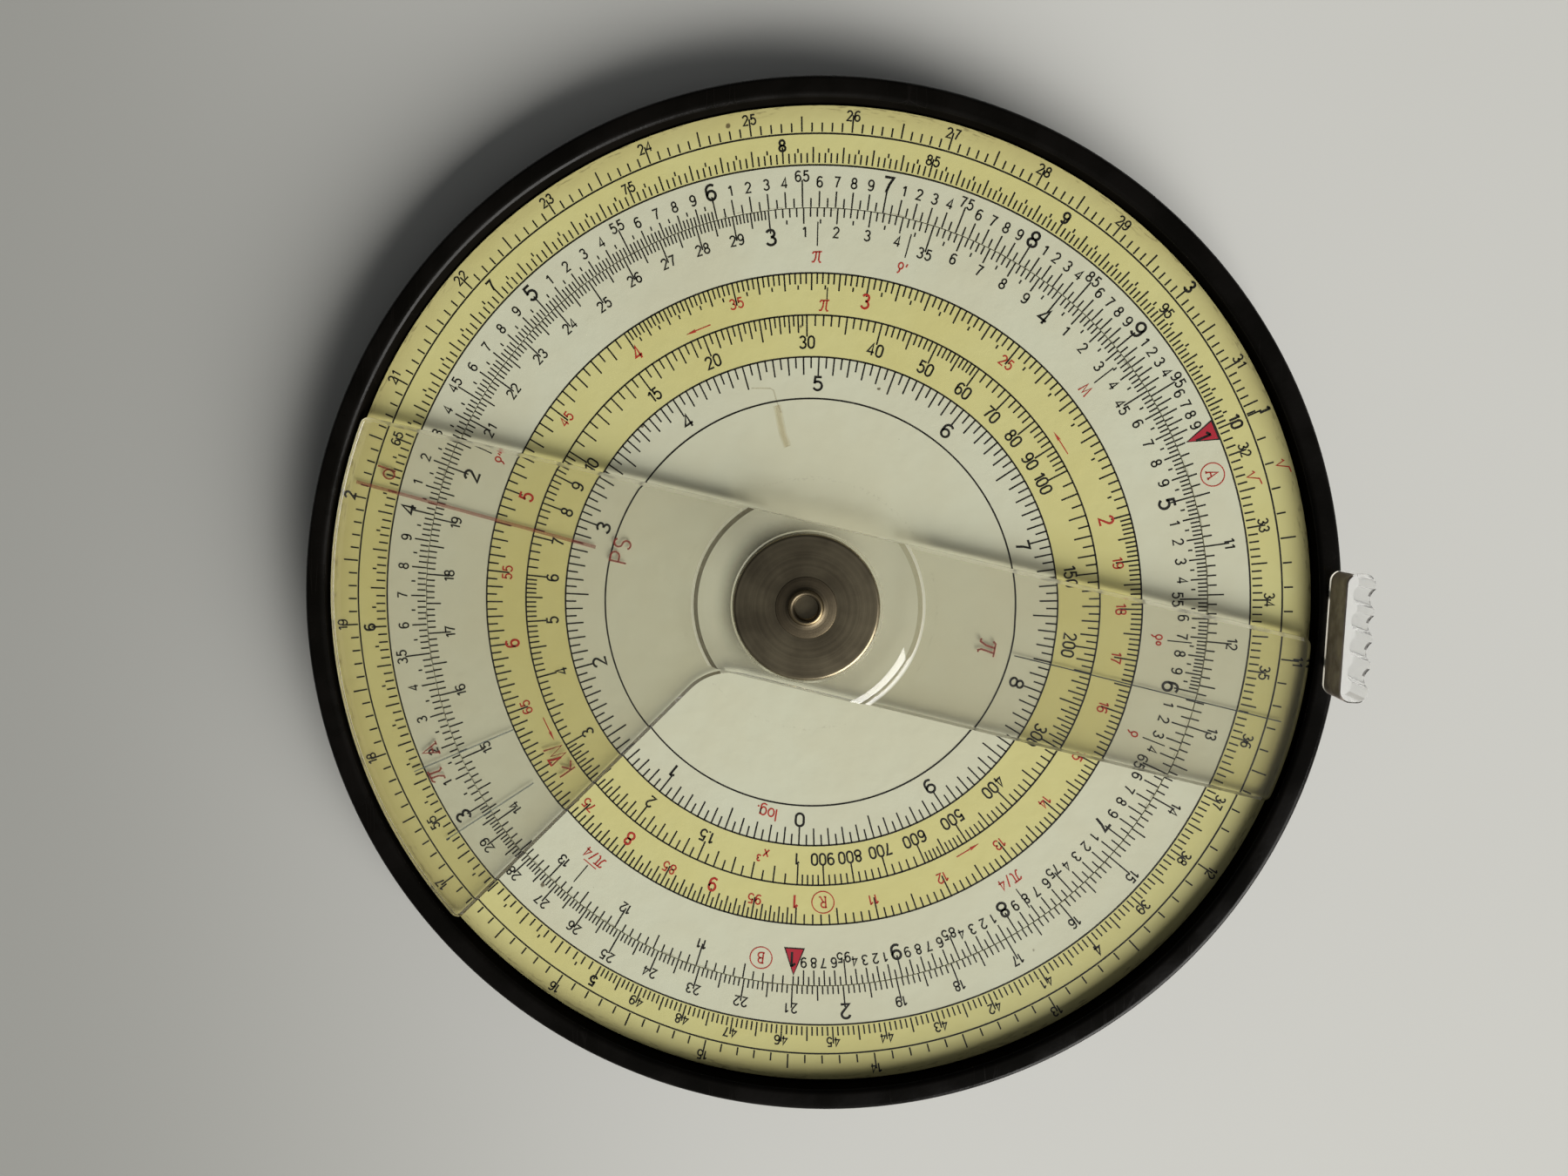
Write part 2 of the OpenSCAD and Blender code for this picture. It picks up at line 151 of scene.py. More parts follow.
def bow(
    x: float, y: float, rx: float, ry: float, start: float, stop: float, step: float = 20
) -> list[Point]:
    """Points of a stretch of an oval.

    Args:
        x, y: Centre of the oval.
        rx, ry: Half its width and half its height.
        start, stop: Angles where the stretch starts and stops, in degrees.
        step: Largest angle between two points, in degrees.

    Returns:
        The points, both ends included.
    """
    count = max(2, math.ceil(abs(stop - start) / step))
    turns = [math.radians(start + (stop - start) * i / count) for i in range(count + 1)]
    return [(x + rx * math.cos(t), y + ry * math.sin(t)) for t in turns]


def arc(center: Point, radius: float, start: float, stop: float, step: float = 11.25) -> list[Point]:
    """Points of a round stretch, with both ends, angles in degrees."""
    return bow(*center, radius, radius, start, stop, step)


def circle(center: Point, radius: float, count: int = 48) -> list[Point]:
    """Points of a full circle, the first one not repeated."""
    return arc(center, radius, 0, 360, 360 / count)[:-1]


def shrink(outline: Sequence[Point], inset: float) -> list[Point]:
    """Moves every point of a closed outline inwards.

    Args:
        outline: Points, counter-clockwise.
        inset: Distance between the old and the new sides.

    Returns:
        As many points, on the smaller outline.
    """
    moved = []
    for i, here in enumerate(outline):
        before = Vector(here) - Vector(outline[i - 1])
        after = Vector(outline[(i + 1) % len(outline)]) - Vector(here)
        normal = (before.orthogonal().normalized() + after.orthogonal().normalized()).normalized()
        slant = max(CORNER_LIMIT, normal.dot(after.orthogonal().normalized()))
        moved.append(tuple(Vector(here) + normal * (inset / slant)))
    return moved


class Solid:
    """Gathers the closed shells of one piece and makes an object of them."""

    def __init__(self) -> None:
        """Starts with no shell."""
        self.points: list[Point3] = []
        self.faces: list[tuple[int, ...]] = []
        self.tones: list[int] = []

    def skin(self, rows: Sequence[Sequence[Point3]], wrap: bool, tones: Sequence[int] = ()) -> None:
        """Adds a shell that runs through loops of points.

        Args:
            rows: Loops with equally many points.
            wrap: True joins the last loop to the first, False closes both ends with a face.
            tones: Finish of each strip that runs along the loops, the first finish where empty.
        """
        first, width = len(self.points), len(rows[0])
        self.points += [point for row in rows for point in row]
        for i in range(len(rows) if wrap else len(rows) - 1):
            here, there = first + i * width, first + (i + 1) % len(rows) * width
            for j in range(width):
                k = (j + 1) % width
                self.faces.append((here + j, here + k, there + k, there + j))
                self.tones.append(tones[j] if tones else 0)
        if not wrap:
            last = first + (len(rows) - 1) * width
            self.faces += [tuple(range(first, first + width)), tuple(range(last, last + width))]
            self.tones += [0, 0]

    def lathe(self, profile: Sequence[Point], tones: Sequence[int] = (), count: int = LATHE_STEPS) -> None:
        """Adds a closed profile of radius and height, turned round the spindle axis."""
        rows = [[(r * math.cos(t), r * math.sin(t), z) for r, z in profile] for t in turns_of(count)]
        self.skin(rows, True, tones)

    def prism(self, outline: Sequence[Point], levels: Sequence[Point]) -> None:
        """Adds an upright solid; each level is a height and how far the outline is drawn in there."""
        rows = [[(x, y, z) for x, y in shrink(outline, inset)] for z, inset in levels]
        self.skin(rows, False)

    def ribbon(self, path: Sequence[Point], width: float, low: float, high: float) -> None:
        """Adds a flat line of even width.

        Args:
            path: Points along its middle; a path that ends on its first point is a closed line.
            width: Width of the line.
            low, high: Heights of its underside and its top.
        """
        loop = math.dist(path[0], path[-1]) < width / 100
        middle = [Vector(p) for p in (path[:-1] if loop else path)]
        rows = []
        for i, here in enumerate(middle):
            before = here - middle[i - 1] if loop or i else middle[1] - here
            after = middle[(i + 1) % len(middle)] - here if loop or i + 1 < len(middle) else before
            side = (before.normalized() + after.normalized()).orthogonal().normalized()
            slant = max(BEND_LIMIT, side.dot(after.orthogonal().normalized()))
            left, right = here + side * (width / 2 / slant), here - side * (width / 2 / slant)
            rows.append([(*left, low), (*right, low), (*right, high), (*left, high)])
        self.skin(rows, loop)

    def build(
        self, name: str, finishes: Sequence[bpy.types.Material], smooth: float = 0
    ) -> bpy.types.Object:
        """Makes the object.

        Args:
            name: Name of the piece.
            finishes: Its materials, in the order that the tones count them.
            smooth: Largest angle that is shaded round, in degrees; 0 leaves every face flat.

        Returns:
            The object, linked to the scene.
        """
        mesh = bpy.data.meshes.new(name)
        mesh.from_pydata([Vector(p) * MM for p in self.points], [], self.faces)
        mesh.polygons.foreach_set("material_index", self.tones)
        shells = bmesh.new()
        shells.from_mesh(mesh)
        bmesh.ops.recalc_face_normals(shells, faces=shells.faces)
        shells.to_mesh(mesh)
        shells.free()
        for finish in finishes:
            mesh.materials.append(finish)
        piece = bpy.data.objects.new(name, mesh)
        bpy.context.scene.collection.objects.link(piece)
        round_off(piece, smooth)
        return piece


def round_off(piece: bpy.types.Object, angle: float) -> None:
    """Shades a piece round wherever its faces meet at less than an angle in degrees."""
    if angle:
        piece.data.shade_smooth()
        piece.data.set_sharp_from_angle(angle=math.radians(angle))


def carve(piece: bpy.types.Object, tool: Solid, way: Carving) -> None:
    """Joins a piece to another solid, or cuts it with that solid.

    Args:
        piece: The object that changes.
        tool: The other solid.
        way: What happens to the piece.
    """
    other = tool.build("carving_tool", piece.data.materials[:1])
    modifier = piece.modifiers.new("carve", "BOOLEAN")
    modifier.operation, modifier.object, modifier.solver = way.value, other, "EXACT"
    bpy.context.view_layer.update()
    carved = piece.evaluated_get(bpy.context.evaluated_depsgraph_get())
    old, piece.data = piece.data, bpy.data.meshes.new_from_object(carved)
    piece.modifiers.clear()
    piece.data.name = piece.name
    bpy.data.objects.remove(other)
    bpy.data.meshes.remove(old)


def seat(piece: bpy.types.Object, body: Body, slot: Slot, replaced: Sequence[str] = ()) -> None:
    """Ties a finished piece to the frame.

    Args:
        piece: The object.
        body: The body that it moves with.
        slot: Not used.
        replaced: Nodes that it stands for.
    """
    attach(piece, body.value)
    if replaced:
        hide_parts(*replaced)
    log.info("%s rides on %s: %d faces", piece.name, body.value, len(piece.data.polygons))


class Graph:
    """Short ways to add and join the nodes of one tree."""

    def __init__(self, tree: bpy.types.NodeTree) -> None:
        """Works on a tree that exists."""
        self.tree = tree

    def add(self, kind: str, inputs: Mapping[Any, Any] | None = None, **settings: Any) -> bpy.types.Node:
        """Adds a node.

        Args:
            kind: Blender's name of the node type.
            inputs: Sockets by name or number, each with a value or with the socket that feeds it.
            **settings: Properties of the node.

        Returns:
            The new node.
        """
        node = self.tree.nodes.new(kind)
        for key, value in settings.items():
            setattr(node, key, value)
        for key, value in (inputs or {}).items():
            if isinstance(value, bpy.types.NodeSocket):
                self.tree.links.new(value, node.inputs[key])
            else:
                node.inputs[key].default_value = value
        return node

    def math(self, operation: str, *values: Any) -> bpy.types.NodeSocket:
        """Adds a math node and returns its result."""
        return self.add("ShaderNodeMath", dict(enumerate(values)), operation=operation).outputs[0]

    def mix(self, factor: Any, first: Any, second: Any) -> bpy.types.NodeSocket:
        """Adds a colour mix from first to second and returns its result."""
        node = self.add("ShaderNodeMix", {0: factor, 6: first, 7: second}, data_type="RGBA")
        return node.outputs[2]

    def spread(self, value: Any, low: Any, high: Any, out_low: Any = 0.0, out_high: Any = 1.0) -> Any:
        """Maps a value softly from one range to another and returns the result."""
        inputs = dict(enumerate((value, low, high, out_low, out_high)))
        return self.add("ShaderNodeMapRange", inputs, interpolation_type="SMOOTHSTEP").outputs[0]

    def place(self) -> bpy.types.NodeSocket:
        """Returns the place on the piece, in metres in its own frame."""
        return self.add("ShaderNodeTexCoord").outputs["Object"]

    def noise(self, scale: Any, detail: float = 3.0, place: Any = None) -> bpy.types.NodeSocket:
        """Adds a cloud of noise and returns its value; scale counts features per metre."""
        inputs = {"Vector": place or self.place(), "Scale": scale, "Detail": detail}
        return self.add("ShaderNodeTexNoise", inputs).outputs[0]

    def turn(self) -> bpy.types.NodeSocket:
        """Turn round the spindle axis, in radians."""
        axes = self.add("ShaderNodeSeparateXYZ", {0: self.place()}).outputs
        return self.math("ARCTAN2", axes["Y"], axes["X"])

    def radius(self) -> bpy.types.NodeSocket:
        """Returns the distance from the spindle axis, in millimetres."""
        flat = self.add("ShaderNodeVectorMath", {0: self.place(), 1: (1, 1, 0)}, operation="MULTIPLY")
        length = self.add("ShaderNodeVectorMath", {0: flat.outputs[0]}, operation="LENGTH")
        return self.math("DIVIDE", length.outputs["Value"], MM)


class Effect(Enum):
    """Surface effects that several finishes share; each is built once, as a node group."""

    MOTTLE = "mottle"
    SPECKS = "specks"
    SCRATCHES = "scratches"
    TURNING = "turning"
    EDGE_GRIME = "edge_grime"
    PAINTED_SHADOW = "contact"

    def group(self) -> bpy.types.NodeTree:
        """Returns this effect's node group, built on first use."""
        found = bpy.data.node_groups.get(self.value)
        return found or getattr(EffectMaker(self.value), self.value)()


class EffectMaker:
    """Builds the node group of one effect."""

    def __init__(self, name: str) -> None:
        """Opens an empty group of that name."""
        self.tree = bpy.data.node_groups.new(name, "ShaderNodeTree")
        self.graph = Graph(self.tree)

    def sockets(self, **inputs: float) -> bpy.types.bpy_prop_collection:
        """Adds the group's inputs with their usual values and returns them."""
        for name, value in inputs.items():
            socket = self.tree.interface.new_socket(name, in_out="INPUT", socket_type="NodeSocketFloat")
            socket.default_value = value
        return self.graph.add("NodeGroupInput").outputs

    def close(self, name: str, value: bpy.types.NodeSocket) -> bpy.types.NodeTree:
        """Gives the group its one output and returns the group."""
        self.tree.interface.new_socket(name, in_out="OUTPUT", socket_type="NodeSocketFloat")
        self.graph.add("NodeGroupOutput", {name: value})
        return self.tree

    def mottle(self) -> bpy.types.NodeTree:
        """Soft clouds, from 0 to 1."""
        faint, full = 0.3, 0.7
        inputs = self.sockets(Scale=100.0, Detail=4.0)
        cloud = self.graph.add(
            "ShaderNodeTexNoise",
            {"Vector": self.graph.place(), "Scale": inputs["Scale"], "Detail": inputs["Detail"]},
        )
        return self.close("Cloud", self.graph.spread(cloud.outputs[0], faint, full))

    def specks(self) -> bpy.types.NodeTree:
        """Small dots in some of the cells of a pattern, each with its own size."""
        ragged_scale, ragged, core = 2500.0, 0.0003, 0.5
        graph = self.graph
        inputs = self.sockets(Scale=300.0, Size=0.12, Share=0.3)
        wobble = graph.add("ShaderNodeTexNoise", {"Vector": graph.place(), "Scale": ragged_scale})
        shift = {0: wobble.outputs[1], 1: (ragged,) * 3, 2: graph.place()}
        shifted = graph.add("ShaderNodeVectorMath", shift, operation="MULTIPLY_ADD")
        cells = graph.add("ShaderNodeTexVoronoi", {"Vector": shifted.outputs[0], "Scale": inputs["Scale"]})
        chance = graph.add("ShaderNodeSeparateColor", {0: cells.outputs["Color"]}).outputs
        size = graph.math("MULTIPLY", inputs["Size"], graph.math("POWER", chance[0], 2.0))
        chosen = graph.math("LESS_THAN", chance[1], inputs["Share"])
        dot = graph.spread(cells.outputs["Distance"], size, graph.math("MULTIPLY", size, core))
        return self.close("Mask", graph.math("MULTIPLY", dot, chosen))

    def scratches(self) -> bpy.types.NodeTree:
        """Fine lines in two directions, broken up by clouds."""
        cloud_scale, faint, full = 0.4, 0.5, 0.68
        graph = self.graph
        inputs = self.sockets(Scale=400.0, Width=0.02)
        lines: Any = 0.0
        for turn, stretch in ((0.5, 0.05), (-0.9, 0.08)):
            laid = graph.add("ShaderNodeMapping", {0: graph.place(), 2: (0, 0, turn), 3: (1, stretch, 1)})
            cells = graph.add(
                "ShaderNodeTexVoronoi",
                {"Vector": laid.outputs[0], "Scale": inputs["Scale"]},
                feature="DISTANCE_TO_EDGE",
            )
            lines = graph.math("MAXIMUM", lines, graph.spread(cells.outputs[0], inputs["Width"], 0.0))
        cloud = graph.noise(graph.math("MULTIPLY", inputs["Scale"], cloud_scale))
        broken = graph.spread(cloud, faint, full)
        return self.close("Mask", graph.math("MULTIPLY", lines, broken))

    def turning(self) -> bpy.types.NodeTree:
        """Marks that a lathe leaves, circles of uneven depth round the spindle axis."""
        shallow, deep = 0.25, 0.75
        inputs = self.sockets(Scale=9.0)
        marks = self.graph.add(
            "ShaderNodeTexNoise",
            {"W": self.graph.radius(), "Scale": inputs["Scale"], "Detail": 4.0, "Roughness": 0.65},
            noise_dimensions="1D",
        )
        return self.close("Groove", self.graph.spread(marks.outputs[0], shallow, deep))

    def edge_grime(self) -> bpy.types.NodeTree:
        """Dirt that gathers towards a circle, given by its radius and the width of the dirty strip."""
        ragged_scale, streak_scale, detail = 220.0, 3.5, 5.0
        core, turn_length = 0.2, 12.0
        graph = self.graph
        inputs = self.sockets(Radius=60.0, Width=2.0)
        radius = graph.radius()
        inward = graph.math("ABSOLUTE", graph.math("SUBTRACT", inputs["Radius"], radius))
        uneven = graph.spread(graph.noise(ragged_scale, detail), 0.3, 0.75)
        ragged = graph.math("MULTIPLY", inputs["Width"], uneven)
        near = graph.spread(inward, ragged, graph.math("MULTIPLY", ragged, core))
        unrolled = {0: graph.math("MULTIPLY", graph.turn(), turn_length), 1: radius}
        along = graph.add("ShaderNodeCombineXYZ", unrolled).outputs[0]
        streaks = graph.spread(graph.noise(streak_scale, detail, along), 0.5, 0.66)
        return self.close("Mask", graph.math("MULTIPLY", near, streaks))

    def contact(self) -> bpy.types.NodeTree:
        """Painted shadow beside a round piece of a given radius, deepest on the side at a given turn."""
        lit, shaded = -0.4, 0.8
        graph = self.graph
        inputs = self.sockets(Radius=9.0, Width=1.5, Turn=0.0)
        outward = graph.math("SUBTRACT", graph.radius(), inputs["Radius"])
        near = graph.spread(outward, inputs["Width"], 0.0)
        side = graph.math("COSINE", graph.math("SUBTRACT", graph.turn(), inputs["Turn"]))
        return self.close("Mask", graph.math("MULTIPLY", near, graph.spread(side, lit, shaded)))


class Paint:
    """A material that is being put together."""

    def __init__(self, name: str, **plain: Any) -> None:
        """Starts with one shader.

        Args:
            name: Name of the material.
            **plain: Shader sockets that are the same all over, with _ for each space in their names.
        """
        self.material = bpy.data.materials.new(name)
        self.material.use_nodes = True
        self.material.node_tree.nodes.clear()
        self.graph = Graph(self.material.node_tree)
        values = {key.replace("_", " "): value for key, value in plain.items()}
        self.color: Any = None
        self.shader = self.graph.add("ShaderNodeBsdfPrincipled", values)
        self.output = self.graph.add("ShaderNodeOutputMaterial", {"Surface": self.shader.outputs[0]})

    def effect(self, effect: Effect, **inputs: float) -> bpy.types.NodeSocket:
        """Places a shared effect with its own values and returns its result."""
        node = self.graph.add("ShaderNodeGroup", node_tree=effect.group())
        for name, value in inputs.items():
            node.inputs[name].default_value = value
        return node.outputs[0]

    def wear(self, color: Any, *layers: tuple[bpy.types.NodeSocket, float, Color]) -> None:
        """Lays colours over one another.

        Args:
            color: The colour at the bottom.
            *layers: For each layer its mask, how strong it is at most, and its colour.
        """
        for mask, strength, tint in layers:
            color = self.graph.mix(self.graph.math("MULTIPLY", mask, strength), color, tint)
        self.color = color
        self.graph.tree.links.new(color, self.shader.inputs["Base Color"])

    def gloss(self, low: float, high: float, value: bpy.types.NodeSocket) -> None:
        """Lets the roughness follow a value, from low at 0 to high at 1."""
        rough = self.graph.spread(value, 0.0, 1.0, low, high)
        self.graph.tree.links.new(rough, self.shader.inputs["Roughness"])

    def pass_light(self, lets_in: Color, lets_out: Color, backlit: float = 0.0) -> None:
        """Lets lamp light pass straight through to what lies below.

        Args:
            lets_in: Share of the light that enters through a face.
            lets_out: Share of the light that leaves through a face.
            backlit: How much of a face glows with the light from behind it.
        """
        graph = self.graph
        surface = self.shader
        if backlit:
            glow = graph.add("ShaderNodeBsdfTranslucent", {"Color": self.color})
            layers = {0: backlit, 1: surface.outputs[0], 2: glow.outputs[0]}
            surface = graph.add("ShaderNodeMixShader", layers)
        rays = graph.add("ShaderNodeLightPath").outputs
        from_inside = graph.add("ShaderNodeNewGeometry").outputs["Backfacing"]
        shade = graph.mix(from_inside, lets_out, lets_in)
        through = graph.add("ShaderNodeBsdfTransparent", {"Color": shade})
        plain = graph.math("MAXIMUM", rays["Is Shadow Ray"], rays["Is Diffuse Ray"])
        mixed = graph.add("ShaderNodeMixShader", {0: plain, 1: surface.outputs[0], 2: through.outputs[0]})
        graph.tree.links.new(mixed.outputs[0], self.output.inputs["Surface"])

    def relief(self, height: bpy.types.NodeSocket, depth: float) -> None:
        """Roughens the surface by a height, depth millimetres deep."""
        bump = self.graph.add("ShaderNodeBump", {"Height": height, "Distance": depth * MM, "Strength": 1.0})
        self.graph.tree.links.new(bump.outputs[0], self.shader.inputs["Normal"])


@dataclass(frozen=True)
class Celluloid:
    """Printed celluloid sheet, yellowed, specked, and grubby towards one edge.

    The values from ageing to specking say how strong each kind of wear is at most.
    """

    name: str
    tint: Color
    aged: Color
    grimy_radius: float
    grimy_width: float
    rubbed_radius: float = 15.4
    rubbed_width: float = 0.5
    film: float = 0.0
    speck: Color = srgb(74, 60, 38)
    soil: Color = srgb(88, 74, 50)
    worn: Color = srgb(150, 134, 86)
    ageing: float = 0.45
    blotching: float = 0.12
    rubbing: float = 0.15
    griminess: float = 0.5
    specking: float = 0.85
    polish: float = 0.42
    dull: float = 0.58
    dents: float = 0.012

    def material(self) -> bpy.types.Material:
        """Returns the material."""
        paint = Paint(self.name, IOR=1.45, Specular_IOR_Level=0.35)
        cloud = paint.effect(Effect.MOTTLE, Scale=70.0, Detail=5.0)
        blotch = paint.effect(Effect.MOTTLE, Scale=420.0)
        specks = paint.effect(Effect.SPECKS, Scale=210.0, Size=0.09, Share=0.6)
        grime = paint.effect(Effect.EDGE_GRIME, Radius=self.grimy_radius, Width=self.grimy_width)
        rubbed = paint.effect(Effect.EDGE_GRIME, Radius=self.rubbed_radius, Width=self.rubbed_width)
        inner_r = self.grimy_radius - 2 * self.grimy_width
        film = paint.graph.spread(paint.graph.radius(), inner_r, self.grimy_radius)
        paint.wear(
            self.tint,
            (cloud, self.ageing, self.aged),
            (blotch, self.blotching, self.aged),
            (film, self.film, self.worn),
            (rubbed, self.rubbing, self.soil),
            (grime, self.griminess, self.soil),
            (specks, self.specking, self.speck),
        )
        paint.gloss(self.polish, self.dull, cloud)
        paint.relief(blotch, self.dents)
        return paint.material


@dataclass(frozen=True)
class Ink:
    """Printing ink, thin and uneven; cover is how much each side of the thin film hides."""

    name: str
    tint: Color
    worn: Color
    cover: float = 1.0
    thinning: float = 0.5
    polish: float = 0.4
    dull: float = 0.6

    def material(self) -> bpy.types.Material:
        """Returns the material."""
        paint = Paint(self.name, IOR=1.4, Alpha=self.cover)
        thin = paint.effect(Effect.MOTTLE, Scale=900.0)
        paint.wear(self.tint, (thin, self.thinning, self.worn))
        paint.gloss(self.polish, self.dull, thin)
        return paint.material


@dataclass(frozen=True)
class Moulding:
    """Black moulded plastic with a worn polish."""

    name: str = "black_moulding"
    shine: float = 0.1
    polish: float = 0.18
    worn: float = 0.34
    tint: Color = srgb(9, 8, 6)
    dull: Color = srgb(22, 19, 17)
    clouding: float = 0.3
    scratching: float = 0.35
    dusting: float = 0.6
    grain: float = 0.006

    def material(self) -> bpy.types.Material:
        """Returns the material."""
        paint = Paint(self.name, Specular_IOR_Level=self.shine)
        cloud = paint.effect(Effect.MOTTLE, Scale=160.0)
        scratches = paint.effect(Effect.SCRATCHES, Scale=330.0, Width=0.02)
        dust = paint.effect(Effect.SPECKS, Scale=420.0, Size=0.08, Share=0.4)
        masks = ((cloud, self.clouding), (scratches, self.scratching), (dust, self.dusting))
        paint.wear(self.tint, *((mask, strength, self.dull) for mask, strength in masks))
        paint.gloss(self.polish, self.worn, paint.graph.math("MAXIMUM", cloud, scratches))
        paint.relief(paint.effect(Effect.MOTTLE, Scale=1500.0), self.grain)
        return paint.material


@dataclass(frozen=True)
class ClearPlastic:
    """Clear acrylic, with how much light its faces let in and let out towards what lies below.

    Haze makes it milky, and shaded_r is the radius of a round piece on it whose shadow is painted into the
    face beside it.
    """

    name: str
    tint: Color
    polish: float
    dull: float
    lets_in: Color = srgb(246, 245, 242)
    lets_out: Color = srgb(246, 245, 242)
    bend: float = 1.49
    haze: float = 0.0
    shaded_r: float = 0.0
    # Colour of the shadow painted beside the round piece.
    shade: Color = srgb(62, 58, 50)
    shade_width: float = 3.0
    shade_turn: float = 2.5
    waves: float = 0.01

    def material(self) -> bpy.types.Material:
        """Returns the material."""
        clear = 1.0 - self.haze
        paint = Paint(self.name, IOR=self.bend, Transmission_Weight=clear, Base_Color=self.tint)
        if self.shaded_r:
            contact = paint.effect(
                Effect.PAINTED_SHADOW, Radius=self.shaded_r, Width=self.shade_width, Turn=self.shade_turn
            )
            paint.wear(self.tint, (contact, 1.0, self.shade))
        scratches = paint.effect(Effect.SCRATCHES, Scale=240.0, Width=0.014)
        paint.gloss(self.polish, self.dull, scratches)
        paint.relief(paint.effect(Effect.MOTTLE, Scale=130.0), self.waves)
        paint.pass_light(self.lets_in, self.lets_out)
        return paint.material


@dataclass(frozen=True)
class Frosted:
    """Sawn, dull face of a clear block with its tint and soil; light still passes through to what lies
    below. The grip has one dark with dirt, and one pale as a painted light line.
    """

    name: str
    tint: Color
    soil: Color
    backlit: float = 0.0
    clear: Color = srgb(255, 255, 255)
    clouding: float = 0.6
    scratching: float = 0.4
    polish: float = 0.35
    dull: float = 0.6
    saw_marks: float = 0.02

    def material(self) -> bpy.types.Material:
        """Returns the material."""
        paint = Paint(self.name, Specular_IOR_Level=0.3)
        cloud = paint.effect(Effect.MOTTLE, Scale=500.0)
        scratches = paint.effect(Effect.SCRATCHES, Scale=700.0, Width=0.05)
        paint.wear(self.tint, (cloud, self.clouding, self.soil), (scratches, self.scratching, self.soil))
        paint.gloss(self.polish, self.dull, cloud)
        paint.relief(cloud, self.saw_marks)
        paint.pass_light(self.clear, self.clear, self.backlit)
        return paint.material


@dataclass(frozen=True)
class Metal:
    """Bare metal with turning marks and tarnish."""

    name: str
    tint: Color
    tarnish: Color
    polish: float = 0.3
    dull: float = 0.5
    mark_scale: float = 9.0
    mark_depth: float = 0.004
    clouding: float = 0.7
    marking: float = 0.14
    spotting: float = 0.7

    def material(self) -> bpy.types.Material:
        """Returns the material."""
        paint = Paint(self.name, Metallic=1.0)
        groove = paint.effect(Effect.TURNING, Scale=self.mark_scale)
        cloud = paint.effect(Effect.MOTTLE, Scale=260.0, Detail=6.0)
        spots = paint.effect(Effect.SPECKS, Scale=500.0, Size=0.1, Share=0.25)
        masks = ((cloud, self.clouding), (groove, self.marking), (spots, self.spotting))
        paint.wear(self.tint, *((mask, strength, self.tarnish) for mask, strength in masks))
        paint.gloss(self.polish, self.dull, groove)
        paint.relief(groove, self.mark_depth)
        return paint.material


@dataclass(frozen=True)
class Fibrous:
    """Felt or pressed fibre, matt and uneven."""

    name: str
    tint: Color
    deep: Color
    grain: float = 2600.0
    depth: float = 0.12
    fuzz: float = 0.7
    clouding: float = 0.35
    smooth: float = 0.8
    rough: float = 0.95

    def material(self) -> bpy.types.Material:
        """Returns the material."""
        paint = Paint(self.name, Sheen_Weight=0.3, Specular_IOR_Level=0.2)
        fibres = paint.effect(Effect.MOTTLE, Scale=self.grain, Detail=6.0)
        cloud = paint.effect(Effect.MOTTLE, Scale=300.0)
        paint.wear(self.tint, (fibres, self.fuzz, self.deep), (cloud, self.clouding, self.deep))
        paint.gloss(self.smooth, self.rough, cloud)
        paint.relief(fibres, self.depth)
        return paint.material


BLACK_INK = Ink("black_ink", srgb(18, 17, 13), srgb(36, 33, 25))
DARK_BLUE_INK = Ink("dark_blue_ink", srgb(44, 50, 52), srgb(66, 72, 72))
RED_INK = Ink("red_ink", srgb(164, 42, 32), srgb(174, 62, 46))
CRIMSON_INK = Ink("crimson_ink", srgb(172, 38, 52), srgb(150, 30, 44))
BLUE_INK = Ink("blue_grey_ink", srgb(84, 98, 104), srgb(104, 114, 116), 0.42)
FADED_INK = Ink("faded_red_ink", srgb(146, 52, 42), srgb(122, 46, 38), 0.68)
THIN_RED_INK = Ink("thin_red_ink", srgb(140, 58, 48), srgb(116, 48, 40), 0.38)
CREASE = Ink("crease_dirt", srgb(164, 150, 112), srgb(178, 166, 128), 0.25)
STAIN = Ink("brown_stain", srgb(196, 178, 124), srgb(200, 188, 142), 0.12)
IVORY = srgb(203, 204, 180)
IVORY_AGED = srgb(194, 190, 161)
YELLOW = srgb(203, 198, 138)
YELLOW_AGED = srgb(194, 185, 117)


@dataclass(frozen=True)
class Spot:
    """A place on a dial, where x runs clockwise along the circle and y outwards."""

    radius: float
    angle: float

    def place(self, x: float, y: float) -> Point:
        """Point that lies x along and y out from this place."""
        return polar(self.radius + y, self.angle - math.degrees(x / self.radius))


def turned(stroke: Sequence[Point], width: float) -> list[Point]:
    """Gives a stroke of a sign that stands on its head."""
    return [(width - x, 1 - y) for x, y in stroke]


